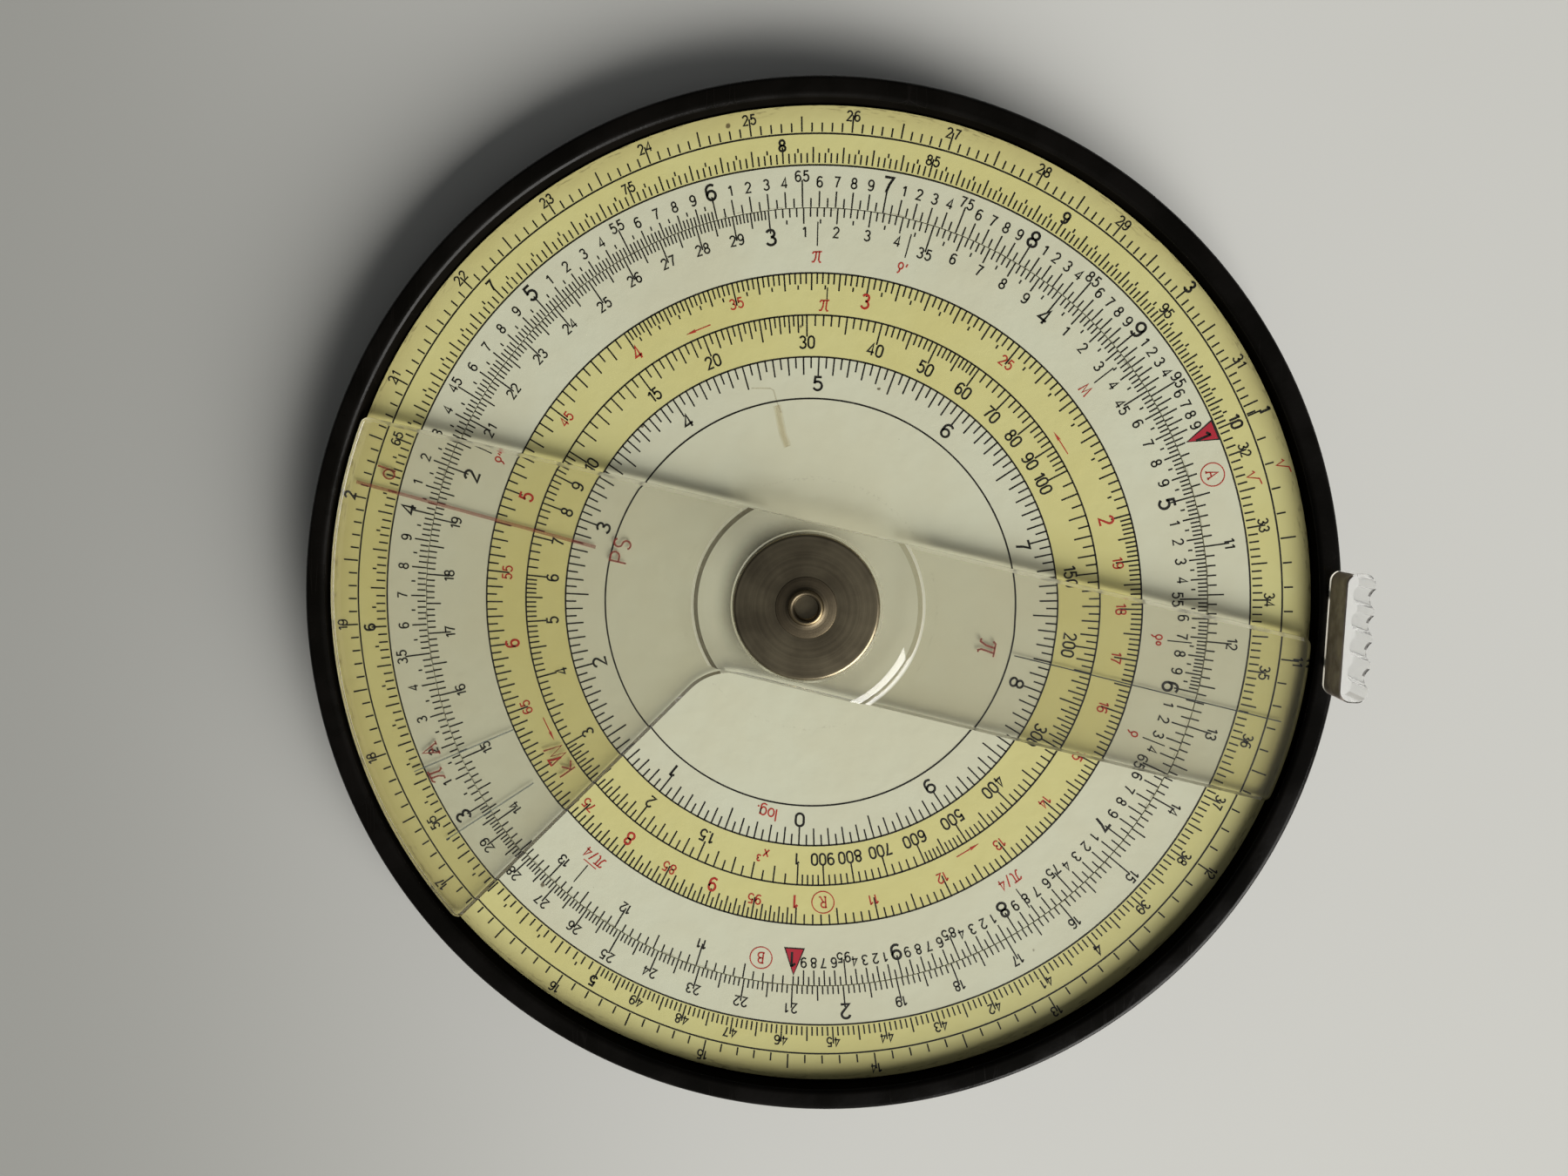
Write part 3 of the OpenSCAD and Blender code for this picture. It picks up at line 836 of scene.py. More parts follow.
class Lettering:
    """Signs drawn with lines of even width, on a body of height 1."""

    SIX = [bow(0.25, 0.3, 0.25, 0.3, 0, 360), bow(0.28, 0.66, 0.28, 0.34, 45, 180) + [(0, 0.3)]]
    THREE = [bow(0.24, 0.76, 0.23, 0.24, 160, -90), bow(0.24, 0.26, 0.27, 0.26, 90, -160)]
    STROKES: dict[str, list[list[Point]]] = {
        "0": [bow(0.25, 0.7, 0.25, 0.3, 0, 180) + bow(0.25, 0.3, 0.25, 0.3, 180, 360) + [(0.5, 0.7)]],
        "1": [[(0.06, 0.76), (0.28, 0.96)], [(0.3, 1), (0.3, 0)]],
        "2": [bow(0.25, 0.73, 0.25, 0.27, 170, -40) + [(0, 0), (0.52, 0)]],
        "3": THREE,
        "4": [[(0.4, 0), (0.4, 1), (0, 0.27), (0.55, 0.27)]],
        "5": [[(0.47, 1), (0.09, 1), (0.05, 0.5)], bow(0.24, 0.33, 0.27, 0.33, 140, -155)],
        "6": SIX,
        "7": [[(0, 1), (0.5, 1), (0.32, 0.55), (0.2, 0)]],
        "8": [bow(0.25, 0.755, 0.21, 0.245, 0, 360), bow(0.25, 0.26, 0.26, 0.26, 0, 360)],
        "9": [turned(stroke, 0.5) for stroke in SIX],
        ".": [[(0.05, -0.05), (0.05, 0.08)]],
        "³": [[(x / 2, 0.55 + y / 2) for x, y in stroke] for stroke in THREE],
        "A": [[(0.02, 0), (0.33, 1), (0.64, 0)], [(0.14, 0.35), (0.52, 0.35)], [(-0.08, 0), (0.14, 0)],
              [(0.52, 0), (0.76, 0)]],
        "B": [[(0.1, 0), (0.1, 1)],
              [(0, 1), (0.3, 1)] + bow(0.3, 0.76, 0.22, 0.24, 80, -90) + [(0.1, 0.52)],
              [(0.3, 0.52)] + bow(0.32, 0.26, 0.26, 0.26, 80, -90) + [(0, 0)]],
        "R": [[(0.1, 0), (0.1, 1)],
              [(0, 1), (0.3, 1)] + bow(0.3, 0.75, 0.23, 0.25, 80, -90) + [(0.1, 0.5)],
              [(0.32, 0.5), (0.56, 0), (0.7, 0)], [(0, 0), (0.24, 0)]],
        "x": [[(0, 0), (0.45, 0.6)], [(0.05, 0.6), (0.38, 0)]],
        "l": [[(0.05, 0), (0.05, 1)]],
        "o": [bow(0.24, 0.33, 0.24, 0.33, 0, 360)],
        "g": [bow(0.24, 0.33, 0.24, 0.33, 0, 360), [(0.48, 0.66)] + bow(0.24, -0.08, 0.24, 0.2, 0, -150)],
        "π": [[(0, 0.78), (0.12, 0.94), (0.85, 0.98)],
              [(0.36, 0.95), (0.3, 0.4), (0.14, 0.06), (-0.05, 0.06)],
              [(0.64, 0.96), (0.58, 0.2), (0.68, 0.02), (0.8, 0.06)]],
        "ρ": [bow(0.25, 0.7, 0.21, 0.28, -100, 260), [(0.22, 0.42), (0.22, 0.2), (0.06, 0)]],
        "M": [[(0, 0), (0.16, 1), (0.4, 0.15), (0.64, 1), (0.8, 0)]],
        "/": [[(0, -0.08), (0.36, 1)]],
        "°": [bow(0.14, 0.72, 0.14, 0.2, 0, 360)],
        "′": [[(0.06, 0.68), (0.14, 0.98)]],
        "″": [[(0.02, 0.68), (0.1, 0.98)], [(0.22, 0.68), (0.3, 0.98)]],
        "√": [[(0, 0.56), (0.16, 0.72), (0.4, 0), (0.8, 1), (1.3, 1.08)]],
        "P": [[(0, 0), (0, 1), (0.3, 1)] + bow(0.3, 0.74, 0.24, 0.26, 80, -90) + [(0, 0.48)]],
        "S": [bow(0.25, 0.75, 0.23, 0.25, 30, 270) + bow(0.25, 0.25, 0.25, 0.25, 80, -150)],
        "d": [bow(0.24, 0.3, 0.24, 0.3, 0, 360), [(0.5, 1), (0.48, 0)]],
        "k": [[(0, 0), (0, 1)], [(0.4, 0.6), (0.04, 0.28), (0.42, 0)]],
        "W": [[(0, 1), (0.2, 0), (0.42, 0.8), (0.64, 0), (0.85, 1)]],
    }

    @classmethod
    def width(cls, sign: str) -> float:
        """Width of a sign between the middles of its outer lines."""
        return max(x for stroke in cls.STROKES[sign] for x, _ in stroke)


@dataclass(frozen=True)
class Letters:
    """How the signs of one kind of label are drawn."""

    height: float
    stroke: float
    gap: float = 0.3
    wide: float = 1.0


@dataclass
class Print:
    """Ink on a face: every mark is a thin closed shell, sunk a little into the face."""

    level: float
    thickness: float = 0.016
    sunk: float = 0.006
    solid: Solid = field(default_factory=Solid)

    def line(self, path: Sequence[Point], width: float, lift: float = 0.0) -> None:
        """Prints a line; lift raises it over ink that is already there."""
        self.solid.ribbon(path, width, self.level - self.sunk, self.level + self.thickness + lift)

    def area(self, outline: Sequence[Point], lift: float = 0.0) -> None:
        """Prints a filled shape."""
        self.solid.prism(outline, ((self.level - self.sunk, 0), (self.level + self.thickness + lift, 0)))

    def ring(self, radius: float, width: float) -> None:
        """Prints a circle round the spindle axis."""
        low, high = self.level - self.sunk, self.level + self.thickness
        inner, outer = radius - width / 2, radius + width / 2
        self.solid.lathe(((inner, low), (outer, low), (outer, high), (inner, high)))

    def tick(self, angle: float, start: float, stop: float, width: float) -> None:
        """Prints a straight mark along a radius."""
        self.line((polar(start, angle), polar(stop, angle)), width)

    def text(self, text: str, spot: Spot, letters: Letters, lift: float = 0.004) -> None:
        """Prints signs side by side, with their middle on a spot."""
        scale = letters.height - letters.stroke
        widths = [Lettering.width(sign) * letters.wide for sign in text]
        x = -(sum(widths) + letters.gap * (len(text) - 1)) / 2
        for sign, width in zip(text, widths):
            for stroke in Lettering.STROKES[sign]:
                path = [(x + px * letters.wide, py - 0.5) for px, py in stroke]
                self.line([spot.place(px * scale, py * scale) for px, py in path], letters.stroke, lift)
            x += width + letters.gap

    def build(self, name: str, ink: Ink, body: Body) -> None:
        """Makes the object and ties it to a body."""
        seat(self.solid.build(name, (material(ink),)), body, Slot.CELLULOID)


def material(finish: Any) -> bpy.types.Material:
    """Returns a finish's material, made on first use."""
    return bpy.data.materials.get(finish.name) or finish.material()


class Tick(Enum):
    """Kinds of marks on a scale."""

    SHORT = "short"
    MIDDLE = "middle"
    HALF = "half"
    LABEL = "label"
    BOLD = "bold"
    DASH = "dash"


@dataclass(frozen=True)
class Mark:
    """One division of a scale, with its label where it has one."""

    angle: float
    kind: Tick
    text: str = ""


@dataclass(frozen=True)
class Stretch:
    """Part of a scale that is divided in equal steps; its numbers count hundredths."""

    start: int
    stop: int
    step: int


@dataclass(frozen=True)
class Scale:
    """A circular scale.

    Lengths and label places are measured from the scale's line, outwards or inwards.
    """

    line: float
    side: Side
    index: float
    turn: float
    stretches: tuple[Stretch, ...]
    reach: Mapping[Tick, Point]
    small: Letters
    bold: Letters
    small_at: float
    half_at: float
    bold_at: float
    offset: float = 0.0
    tick_width: float = 0.178

    def angle(self, number: float) -> float:
        """Angle of a number that counts hundredths."""
        return self.index + self.turn * math.log10(number / 100) + self.offset

    def mark(self, number: int, step: int) -> Mark:
        """Says how a number is marked."""
        raise NotImplementedError

    def marks(self) -> Iterator[Mark]:
        """Lists every mark, and the dashes that stand between double steps."""
        for part in self.stretches:
            for number in range(part.start, part.stop, part.step):
                yield self.mark(number, part.step)
            if part.step == 2:
                for number in range(part.start + 5, part.stop, 10):
                    yield Mark(self.angle(number), Tick.DASH)

    def draw(self, ticks: Print, labels: Print) -> None:
        """Prints the scale.

        Args:
            ticks: Takes the ticks.
            labels: Takes the labels, which may have another colour.
        """
        for mark in self.marks():
            start, stop = self.reach[mark.kind]
            ends = (self.line + self.side * reach for reach in (start, stop))
            ticks.tick(mark.angle, *ends, self.tick_width)
            if not mark.text:
                continue
            letters = self.bold if mark.kind is Tick.BOLD else self.small
            out = {Tick.BOLD: self.bold_at, Tick.HALF: self.half_at}.get(mark.kind, self.small_at)
            labels.text(mark.text, Spot(self.line + self.side * out, mark.angle), letters)


class NumberScale(Scale):
    """Scale of one decade round the circle."""

    def mark(self, number: int, step: int) -> Mark:
        """Says how a number is marked."""
        angle = self.angle(number)
        if number == 100:
            return Mark(angle, Tick.SHORT)
        if number % 100 == 0:
            return Mark(angle, Tick.BOLD, str(number // 100))
        if number % 50 == 0:
            return Mark(angle, Tick.HALF, str(number // 10))
        if number % 10 == 0:
            if number < 300:
                return Mark(angle, Tick.LABEL, str(number // 10))
            return Mark(angle, Tick.MIDDLE, str(number // 10 % 10))
        return Mark(angle, Tick.MIDDLE if number % 5 == 0 and step == 1 else Tick.SHORT)


class RootScale(Scale):
    """Scale of half a decade, with a number at every tenth, or at every half where it is divided less."""

    def mark(self, number: int, step: int) -> Mark:
        """Says how a number is marked."""
        angle = self.angle(number)
        if number % 100 == 0:
            return Mark(angle, Tick.BOLD, str(number // 100))
        if number % (10 if step == 1 else 50) == 0:
            return Mark(angle, Tick.LABEL, str(number // 10))
        return Mark(angle, Tick.MIDDLE if number % (5 if step == 1 else 10) == 0 else Tick.SHORT)


class ReciprocalScale(RootScale):
    """Scale of one decade that runs the other way round."""


@dataclass(frozen=True)
class CubeScale(Scale):
    """One of the three decades of the cube scale."""

    decade: int = 0

    def mark(self, number: int, step: int) -> Mark:
        """Says how a number is marked."""
        angle = self.angle(number)
        if number % 100 == 0 or number == 150:
            return Mark(angle, Tick.LABEL, f"{number / 100 * 10 ** self.decade:g}")
        if number == 250:
            return Mark(angle, Tick.HALF)
        return Mark(angle, Tick.MIDDLE if number % {5: 10, 10: 50, 20: 100}[step] == 0 else Tick.SHORT)


class LogScale(Scale):
    """Even scale of ten numbers round the circle."""

    def angle(self, number: float) -> float:
        """Angle of a number that counts hundredths."""
        return self.index + self.turn * number / 1000

    def mark(self, number: int, step: int) -> Mark:
        """Says how a number is marked."""
        angle = self.angle(number)
        if number % 100 == 0:
            return Mark(angle, Tick.BOLD, str(number // 100))
        kind = Tick.HALF if number % 50 == 0 else Tick.MIDDLE if number % 10 == 0 else Tick.SHORT
        return Mark(angle, kind)


RING_INDEX = 23.6
DIAL_INDEX = -92.3
FULL_TURN = 360.0
DECADE = (Stretch(100, 300, 1), Stretch(300, 600, 2), Stretch(600, 1000, 5))
PLAIN_REACH = {
    Tick.SHORT: (0.0, 1.05),
    Tick.MIDDLE: (0.0, 1.87),
    Tick.HALF: (0.0, 3.2),
    Tick.LABEL: (0.0, 2.9),
    Tick.BOLD: (0.0, 2.75),
    Tick.DASH: (1.35, 1.85),
}
SMALL_DIGITS = Letters(1.38, 0.185)
BOLD_DIGITS = Letters(2.1, 0.3, wide=1.15)
FINE_LINE = 0.13


@dataclass
class DialFace:
    """The fixed inner dial: a printed sheet with its scales."""

    yellow_inner: float = 30.0
    yellow_outer: float = 40.0
    log_foot: float = 25.0
    cube_line: float = 35.0
    circle_w: float = 0.2
    bore_r: float = 2.3
    edge: float = 0.03
    meeting_r: float = 47.7
    grimy_width: float = 0.5
    name_letters: Letters = Letters(1.7, 0.18, 0.18)
    gauge_letters: Letters = Letters(1.5, 0.17, 0.2)
    gauge_r: float = 41.9
    gauge_ticks: Point = (46.05, 43.2)
    gauge_tick_w: float = 0.14
    stain_t: float = 0.004
    crease_w: float = 0.15

    def build(self) -> None:
        """Builds the sheet and everything printed on it."""
        self.sheet()
        black, red = Print(top_of("inner_dial_face")), Print(top_of("inner_dial_face"))
        for radius in (self.log_foot, self.yellow_inner, self.cube_line, self.yellow_outer):
            black.ring(radius, self.circle_w)
        self.number_scale().draw(black, black)
        self.reciprocal_scale().draw(black, red)
        for decade in range(3):
            self.cube_scale(decade).draw(black, black)
        self.log_scale().draw(black, black)
        self.marks(black, red)
        black.build("dial_print_black", BLACK_INK, Body.BASE)
        red.build("dial_print_red", RED_INK, Body.BASE)
        self.stain()

    def sheet(self) -> None:
        """Builds the sheet with its ivory and yellow bands."""
        low, high, outer = bottom_of("inner_dial_face"), top_of("inner_dial_face"), self.meeting_r
        rim = arc((outer - self.edge, high - self.edge), self.edge, 0, 90, 30)
        profile = [
            (self.bore_r, low), (outer, low), *rim, (outer - 3 * self.edge, high),
            (self.yellow_outer, high), (self.yellow_inner, high), (self.bore_r, high),
        ]
        tones = [0] * len(profile)
        tones[len(rim) + 3] = 1
        solid = Solid()
        solid.lathe(profile, tones)
        ivory = Celluloid("dial_ivory", IVORY, IVORY_AGED, outer, self.grimy_width)
        yellow = Celluloid("dial_yellow", YELLOW, YELLOW_AGED, outer, self.grimy_width)
        piece = solid.build("dial_face", (material(ivory), material(yellow)), smooth=30)
        seat(piece, Body.BASE, Slot.CELLULOID, ("inner_dial_face",))

    def number_scale(self) -> Scale:
        """Returns the inner number scale."""
        return NumberScale(
            self.meeting_r, Side.INWARD, DIAL_INDEX, -FULL_TURN, DECADE, PLAIN_REACH,
            SMALL_DIGITS, BOLD_DIGITS, small_at=2.85, half_at=3.45, bold_at=3.2,
        )

    def reciprocal_scale(self) -> Scale:
        """Returns the reciprocal scale, which runs counter-clockwise."""
        reach = {
            **PLAIN_REACH, Tick.SHORT: (0.0, 1.3), Tick.MIDDLE: (0.0, 2.05), Tick.LABEL: (0.0, 2.75),
            Tick.BOLD: (0.0, 2.3), Tick.DASH: (1.45, 1.95),
        }
        stretches = (Stretch(100, 200, 1), Stretch(200, 400, 2), Stretch(400, 1000, 5))
        return ReciprocalScale(
            self.yellow_outer, Side.INWARD, DIAL_INDEX, FULL_TURN, stretches, reach,
            Letters(1.35, 0.175), Letters(1.9, 0.26), small_at=2.5, half_at=2.5, bold_at=2.85,
            tick_width=0.19,
        )

    def cube_scale(self, decade: int) -> Scale:
        """Returns one decade of the cube scale."""
        reach = {
            **PLAIN_REACH, Tick.SHORT: (0.0, 1.3), Tick.MIDDLE: (0.0, 2.1), Tick.HALF: (0.0, 2.75),
            Tick.LABEL: (0.0, 2.6),
        }
        stretches = (Stretch(100, 300, 5), Stretch(300, 600, 10), Stretch(600, 1000, 20))
        digits = Letters(1.62, 0.22, 0.22)
        return CubeScale(
            self.cube_line, Side.INWARD, DIAL_INDEX, -FULL_TURN / 3, stretches, reach,
            digits, digits, small_at=3.25, half_at=3.25, bold_at=3.25,
            offset=-FULL_TURN / 3 * decade, tick_width=0.185, decade=decade,
        )

    def log_scale(self) -> Scale:
        """Returns the even scale of logarithms."""
        reach = {
            **PLAIN_REACH, Tick.SHORT: (0.0, 1.35), Tick.MIDDLE: (0.0, 2.15), Tick.HALF: (0.0, 2.9),
            Tick.BOLD: (0.0, 2.5),
        }
        digits = Letters(1.85, 0.27, wide=1.25)
        return LogScale(
            self.yellow_inner, Side.INWARD, DIAL_INDEX, -FULL_TURN, (Stretch(0, 1000, 5),), reach,
            digits, digits, small_at=3.2, half_at=3.2, bold_at=3.2, tick_width=0.185,
        )

    def marks(self, black: Print, red: Print) -> None:
        """Prints the index, the names of the scales, the arrows and the gauge marks."""
        index_mark(DIAL_INDEX, apex=46.45, base=43.1, black=black)
        circled("B", Spot(44.75, -97.6), red)
        circled("R", Spot(37.15, -87.2), red)
        red.text("x³", Spot(31.8, -100.2), self.name_letters)
        red.text("log.", Spot(26.6, -101.2), self.name_letters)
        for angle in (112.0, 33.0, -57.0, 206.0):
            self.arrow(Spot(36.0, angle), red)
        for text, angle in (
            ("π", 88.7), ("ρ′", 74.6), ("M", 38.1), ("ρ°", -5.3), ("ρ", -21.3), ("π/4", -53.8),
            ("π/4", 230.0), ("ρ″", 154.8),
        ):
            black.tick(angle, *self.gauge_ticks, self.gauge_tick_w)
            red.text(text, Spot(self.gauge_r, angle), self.gauge_letters)
        bar = Spot(42.95, 230.0)
        red.line((bar.place(-1.1, 0), bar.place(0.9, 0)), FINE_LINE)
        pi_angle = self.reciprocal_scale().angle(100 * math.pi)
        black.tick(pi_angle, 38.3, 36.9, self.gauge_tick_w)
        red.text("π", Spot(36.15, pi_angle + 0.4), self.gauge_letters)

    def stain(self) -> None:
        """Adds the faint brown crease in the sheet above the hub."""
        crease, stain = (Print(top_of("inner_dial_face"), self.stain_t) for _ in range(2))
        fold = ((-7.0, 26.3), (-4.7, 26.25), (-4.3, 26.0), (-4.0, 24.9), (-3.4, 23.3))
        run = ((-3.9, 24.2), (-3.5, 22.2), (-3.15, 20.6), (-2.6, 19.2))
        crease.line(fold, self.crease_w)
        for width, lift in ((1.0, -0.003), (0.7, -0.002), (0.4, -0.001)):
            stain.line(run, width, lift)
        crease.build("dial_crease", CREASE, Body.BASE)
        stain.build("dial_stain", STAIN, Body.BASE)

    def arrow(self, spot: Spot, ink: Print) -> None:
        """Prints an arrow that points counter-clockwise along the circle."""
        length, head, half_w, notch, lift = 3.2, 1.3, 0.2, 0.25, 0.003
        tip, back = -length / 2, head - length / 2
        ink.line((spot.place(tip + head / 2, 0), spot.place(length / 2, 0)), FINE_LINE)
        barbs = ((tip, 0), (back, -half_w), (back - notch, 0), (back, half_w))
        ink.area([spot.place(*barb) for barb in barbs], lift)


def index_mark(angle: float, apex: float, base: float, black: Print) -> None:
    """Prints a crimson wedge with a black outline and a black number on it.

    Args:
        angle: Direction of the index.
        apex, base: Radii of the wedge's point and of its wide end.
        black: Takes the outline and the number.
    """
    half_w, outline_w, digit_in = 1.2, 0.16, 1.95
    wedge_lift, lift = 0.002, 0.006
    wide = Spot(base, angle)
    corners = [polar(apex, angle), wide.place(-half_w, 0), wide.place(half_w, 0)]
    tip, first, second = (Vector(corner) for corner in corners)
    turns_left = (first - tip).cross(second - tip) > 0
    wedge = Print(black.level)
    wedge.area(corners if turns_left else corners[::-1], wedge_lift)
    body = Body.RING if base > apex else Body.BASE
    wedge.build(f"{body.value}_index_wedge", CRIMSON_INK, body)
    black.line([*corners, corners[0]], outline_w, lift)
    digit_spot = Spot(apex + math.copysign(digit_in, base - apex), angle)
    black.text("1", digit_spot, Letters(2.2, 0.3), lift)


def circled(letter: str, spot: Spot, ink: Print) -> None:
    """Prints a scale's letter in a thin circle."""
    ring_r, step = 1.38, 12
    ink.line([spot.place(x, y) for x, y in arc((0, 0), ring_r, 0, 360, step)], FINE_LINE)
    ink.text(letter, spot, Letters(1.5, 0.17))


@dataclass
class RingFace:
    """The outer ring that turns: a printed sheet with the number scale and the two root scales."""

    yellow_inner: float = 52.75
    lower_line: float = 56.45
    circle_w: float = 0.2
    edge: float = 0.03
    meeting_r: float = 47.8
    grimy_width: float = 0.5
    worn_width: float = 1.8
    film: float = 0.32
    root_digits: Letters = Letters(1.32, 0.185)
    root_sign: Letters = Letters(1.5, 0.15)

    def build(self) -> None:
        """Builds the sheet and everything printed on it."""
        self.sheet()
        black, red = Print(top_of("ring_face")), Print(top_of("ring_face"))
        for radius in (self.yellow_inner, self.lower_line):
            black.ring(radius, self.circle_w)
        for scale in (self.number_scale(), self.upper_root(), self.lower_root()):
            scale.draw(black, black)
        index_mark(RING_INDEX, apex=49.08, base=52.62, black=black)
        circled("A", Spot(50.55, 18.2), red)
        for spot in (Spot(54.95, 16.2), Spot(58.55, 16.6)):
            red.text("√", spot, self.root_sign)
        black.build("ring_print_black", BLACK_INK, Body.RING)
        red.build("ring_print_red", RED_INK, Body.RING)

    def sheet(self) -> None:
        """Builds the sheet with its ivory and yellow bands."""
        low, high, outer = bottom_of("ring_face"), top_of("ring_face"), radius_of("ring_face")
        rim = arc((outer - self.edge, high - self.edge), self.edge, 0, 90, 30)
        lip = arc((self.meeting_r + self.edge, high - self.edge), self.edge, 90, 180, 30)
        profile = [
            (self.meeting_r, low), (outer, low), *rim, (outer - 3 * self.edge, high),
            (self.yellow_inner, high), (self.meeting_r + 3 * self.edge, high), *lip,
        ]
        tones = [1] * (len(rim) + 3) + [0] * (len(lip) + 2)
        solid = Solid()
        solid.lathe(profile, tones)
        ivory = Celluloid("ring_ivory", IVORY, IVORY_AGED, self.meeting_r, self.grimy_width)
        yellow = Celluloid("ring_yellow", YELLOW, YELLOW_AGED, outer, self.worn_width, film=self.film)
        piece = solid.build("ring_scale_face", (material(ivory), material(yellow)), smooth=30)
        seat(piece, Body.RING, Slot.CELLULOID, ("ring_face",))

    def number_scale(self) -> Scale:
        """Returns the outer number scale."""
        return NumberScale(
            self.meeting_r, Side.OUTWARD, RING_INDEX, -FULL_TURN, DECADE, PLAIN_REACH,
            SMALL_DIGITS, BOLD_DIGITS, small_at=2.95, half_at=3.65, bold_at=3.3,
        )

    def upper_root(self) -> Scale:
        """Returns the root scale of the numbers from ten to a hundred."""
        reach = {
            Tick.SHORT: (0.25, 1.4), Tick.MIDDLE: (0.25, 2.1), Tick.LABEL: (0.25, 2.4),
            Tick.BOLD: (0.25, 2.2), Tick.DASH: (1.45, 1.95),
        }
        stretches = (Stretch(317, 500, 1), Stretch(500, 1001, 2))
        return RootScale(
            self.yellow_inner, Side.OUTWARD, RING_INDEX, -2 * FULL_TURN, stretches, reach,
            self.root_digits, Letters(1.55, 0.26, wide=1.1), small_at=2.2, half_at=2.2, bold_at=2.4,
            offset=FULL_TURN, tick_width=0.19,
        )

    def lower_root(self) -> Scale:
        """Returns the root scale of the numbers from one to ten."""
        reach = {
            Tick.SHORT: (0.2, 1.25), Tick.MIDDLE: (0.2, 2.0), Tick.LABEL: (0.2, 2.25),
            Tick.BOLD: (0.2, 1.9),
        }
        return RootScale(
            self.lower_line, Side.OUTWARD, RING_INDEX, -2 * FULL_TURN, (Stretch(100, 317, 1),), reach,
            self.root_digits, Letters(1.6, 0.28, wide=1.1), small_at=2.15, half_at=2.15, bold_at=2.3,
            tick_width=0.19,
        )


@dataclass
class CaseShell:
    """The black moulded case with its rim, pedestal, floor and the holes under it."""

    rim_r: float = 60.05
    inner_round: float = 0.8
    outer_round: float = 0.6
    bevel: float = 1.2
    bevel_round: float = 0.5
    pedestal_r: float = 43.475
    recess_r: float = 6.5
    bush_hole_r: float = 3.31
    cover_hole_r: float = 11.01
    foot_hole_r: float = 5.01
    dial_screw_r: float = 1.01
    dial_screw_circle_r: float = 30.0
    cover_screw_r: float = 0.81
    cover_screw_circle_r: float = 8.75
    cover_screw_depth: float = 3.2
    cover_screw_turn: float = 60.0
    screw_count: int = 3
    spare: float = 0.5

    def build(self) -> None:
        """Builds the shell, cuts its holes and ties it to the base."""
        solid = Solid()
        solid.lathe(self.profile(), count=360)
        matt = Moulding("matt_moulding", shine=0.0, polish=0.6, worn=0.8)
        piece = solid.build("case_shell", (material(Moulding()), material(matt)))
        carve(piece, self.holes(), Carving.CUT)
        for face in piece.data.polygons:
            inward = face.normal.xy.dot(face.center.xy) < 0 and abs(face.normal.z) < WALL_RISE
            face.material_index = 1 if inward and face.center.xy.length > self.pedestal_r * MM else 0
        round_off(piece, angle=32)
        seat(piece, Body.BASE, Slot.BAKELITE, ("case_pan",))

    def profile(self) -> list[Point]:
        """Returns the half section."""
        low, high, outer = bottom_of("case_pan"), top_of("case_pan"), radius_of("case_pan")
        floor, pedestal = bottom_of("ring_glide"), bottom_of("inner_dial_plate")
        recess, cover = bottom_of("spindle_bush"), top_of("back_cover")
        heel, side = Vector((outer - self.bevel, low)), Vector((outer, low + self.bevel))
        slope = (side - heel).normalized() * self.bevel_round
        return [
            (self.cover_hole_r, low), (heel.x - self.bevel_round, low),
            (heel.x + slope.x, heel.y + slope.y), (side.x - slope.x, side.y - slope.y),
            (outer, side.y + self.bevel_round),
            *arc((outer - self.outer_round, high - self.outer_round), self.outer_round, 0, 90),
            *arc((self.rim_r + self.inner_round, high - self.inner_round), self.inner_round, 90, 180),
            (self.rim_r, floor), (self.pedestal_r, floor), (self.pedestal_r, pedestal),
            (self.bush_hole_r, pedestal), (self.bush_hole_r, recess), (self.recess_r, recess),
            (self.recess_r, cover), (self.cover_hole_r, cover),
        ]

    def holes(self) -> Solid:
        """Returns the solid that cuts the sockets of the feet and the holes of the screws and pins."""
        low, pedestal = bottom_of("case_pan"), bottom_of("inner_dial_plate")
        under, over = low - self.spare, pedestal + self.spare
        tool = Solid()
        for place in Feet().places():
            tool.prism(circle(place, self.foot_hole_r, 64), ((under, 0), (top_of("foot_pads"), 0)))
        for i in range(self.screw_count):
            turn = i * 360 / self.screw_count
            head, shank = 2 * self.dial_screw_r, self.dial_screw_r
            place = polar(self.dial_screw_circle_r, turn)
            tool.prism(circle(place, head), ((under, 0), (low, 0), (low + shank, shank), (over, shank)))
            place = polar(self.cover_screw_circle_r, self.cover_screw_turn + turn)
            top = low + self.cover_screw_depth
            tool.prism(circle(place, self.cover_screw_r, 32), ((under, 0), (top, 0)))
        pins = ((bottom_of("grip_pins"), 0), (top_of("grip_pins"), 0))
        for place in ThumbGrip().pin_places():
            tool.prism(circle(place, ThumbGrip.pin_r, 24), pins)
        return tool


def cursor_wall(name: str, tint: Color, lets_in: Color, lets_out: Color) -> ClearPlastic:
    """Returns the finish of an upright wall, a little milky so that it isn't black in a low view."""
    return ClearPlastic(name, tint, 0.08, 0.25, lets_in, lets_out, haze=0.25)


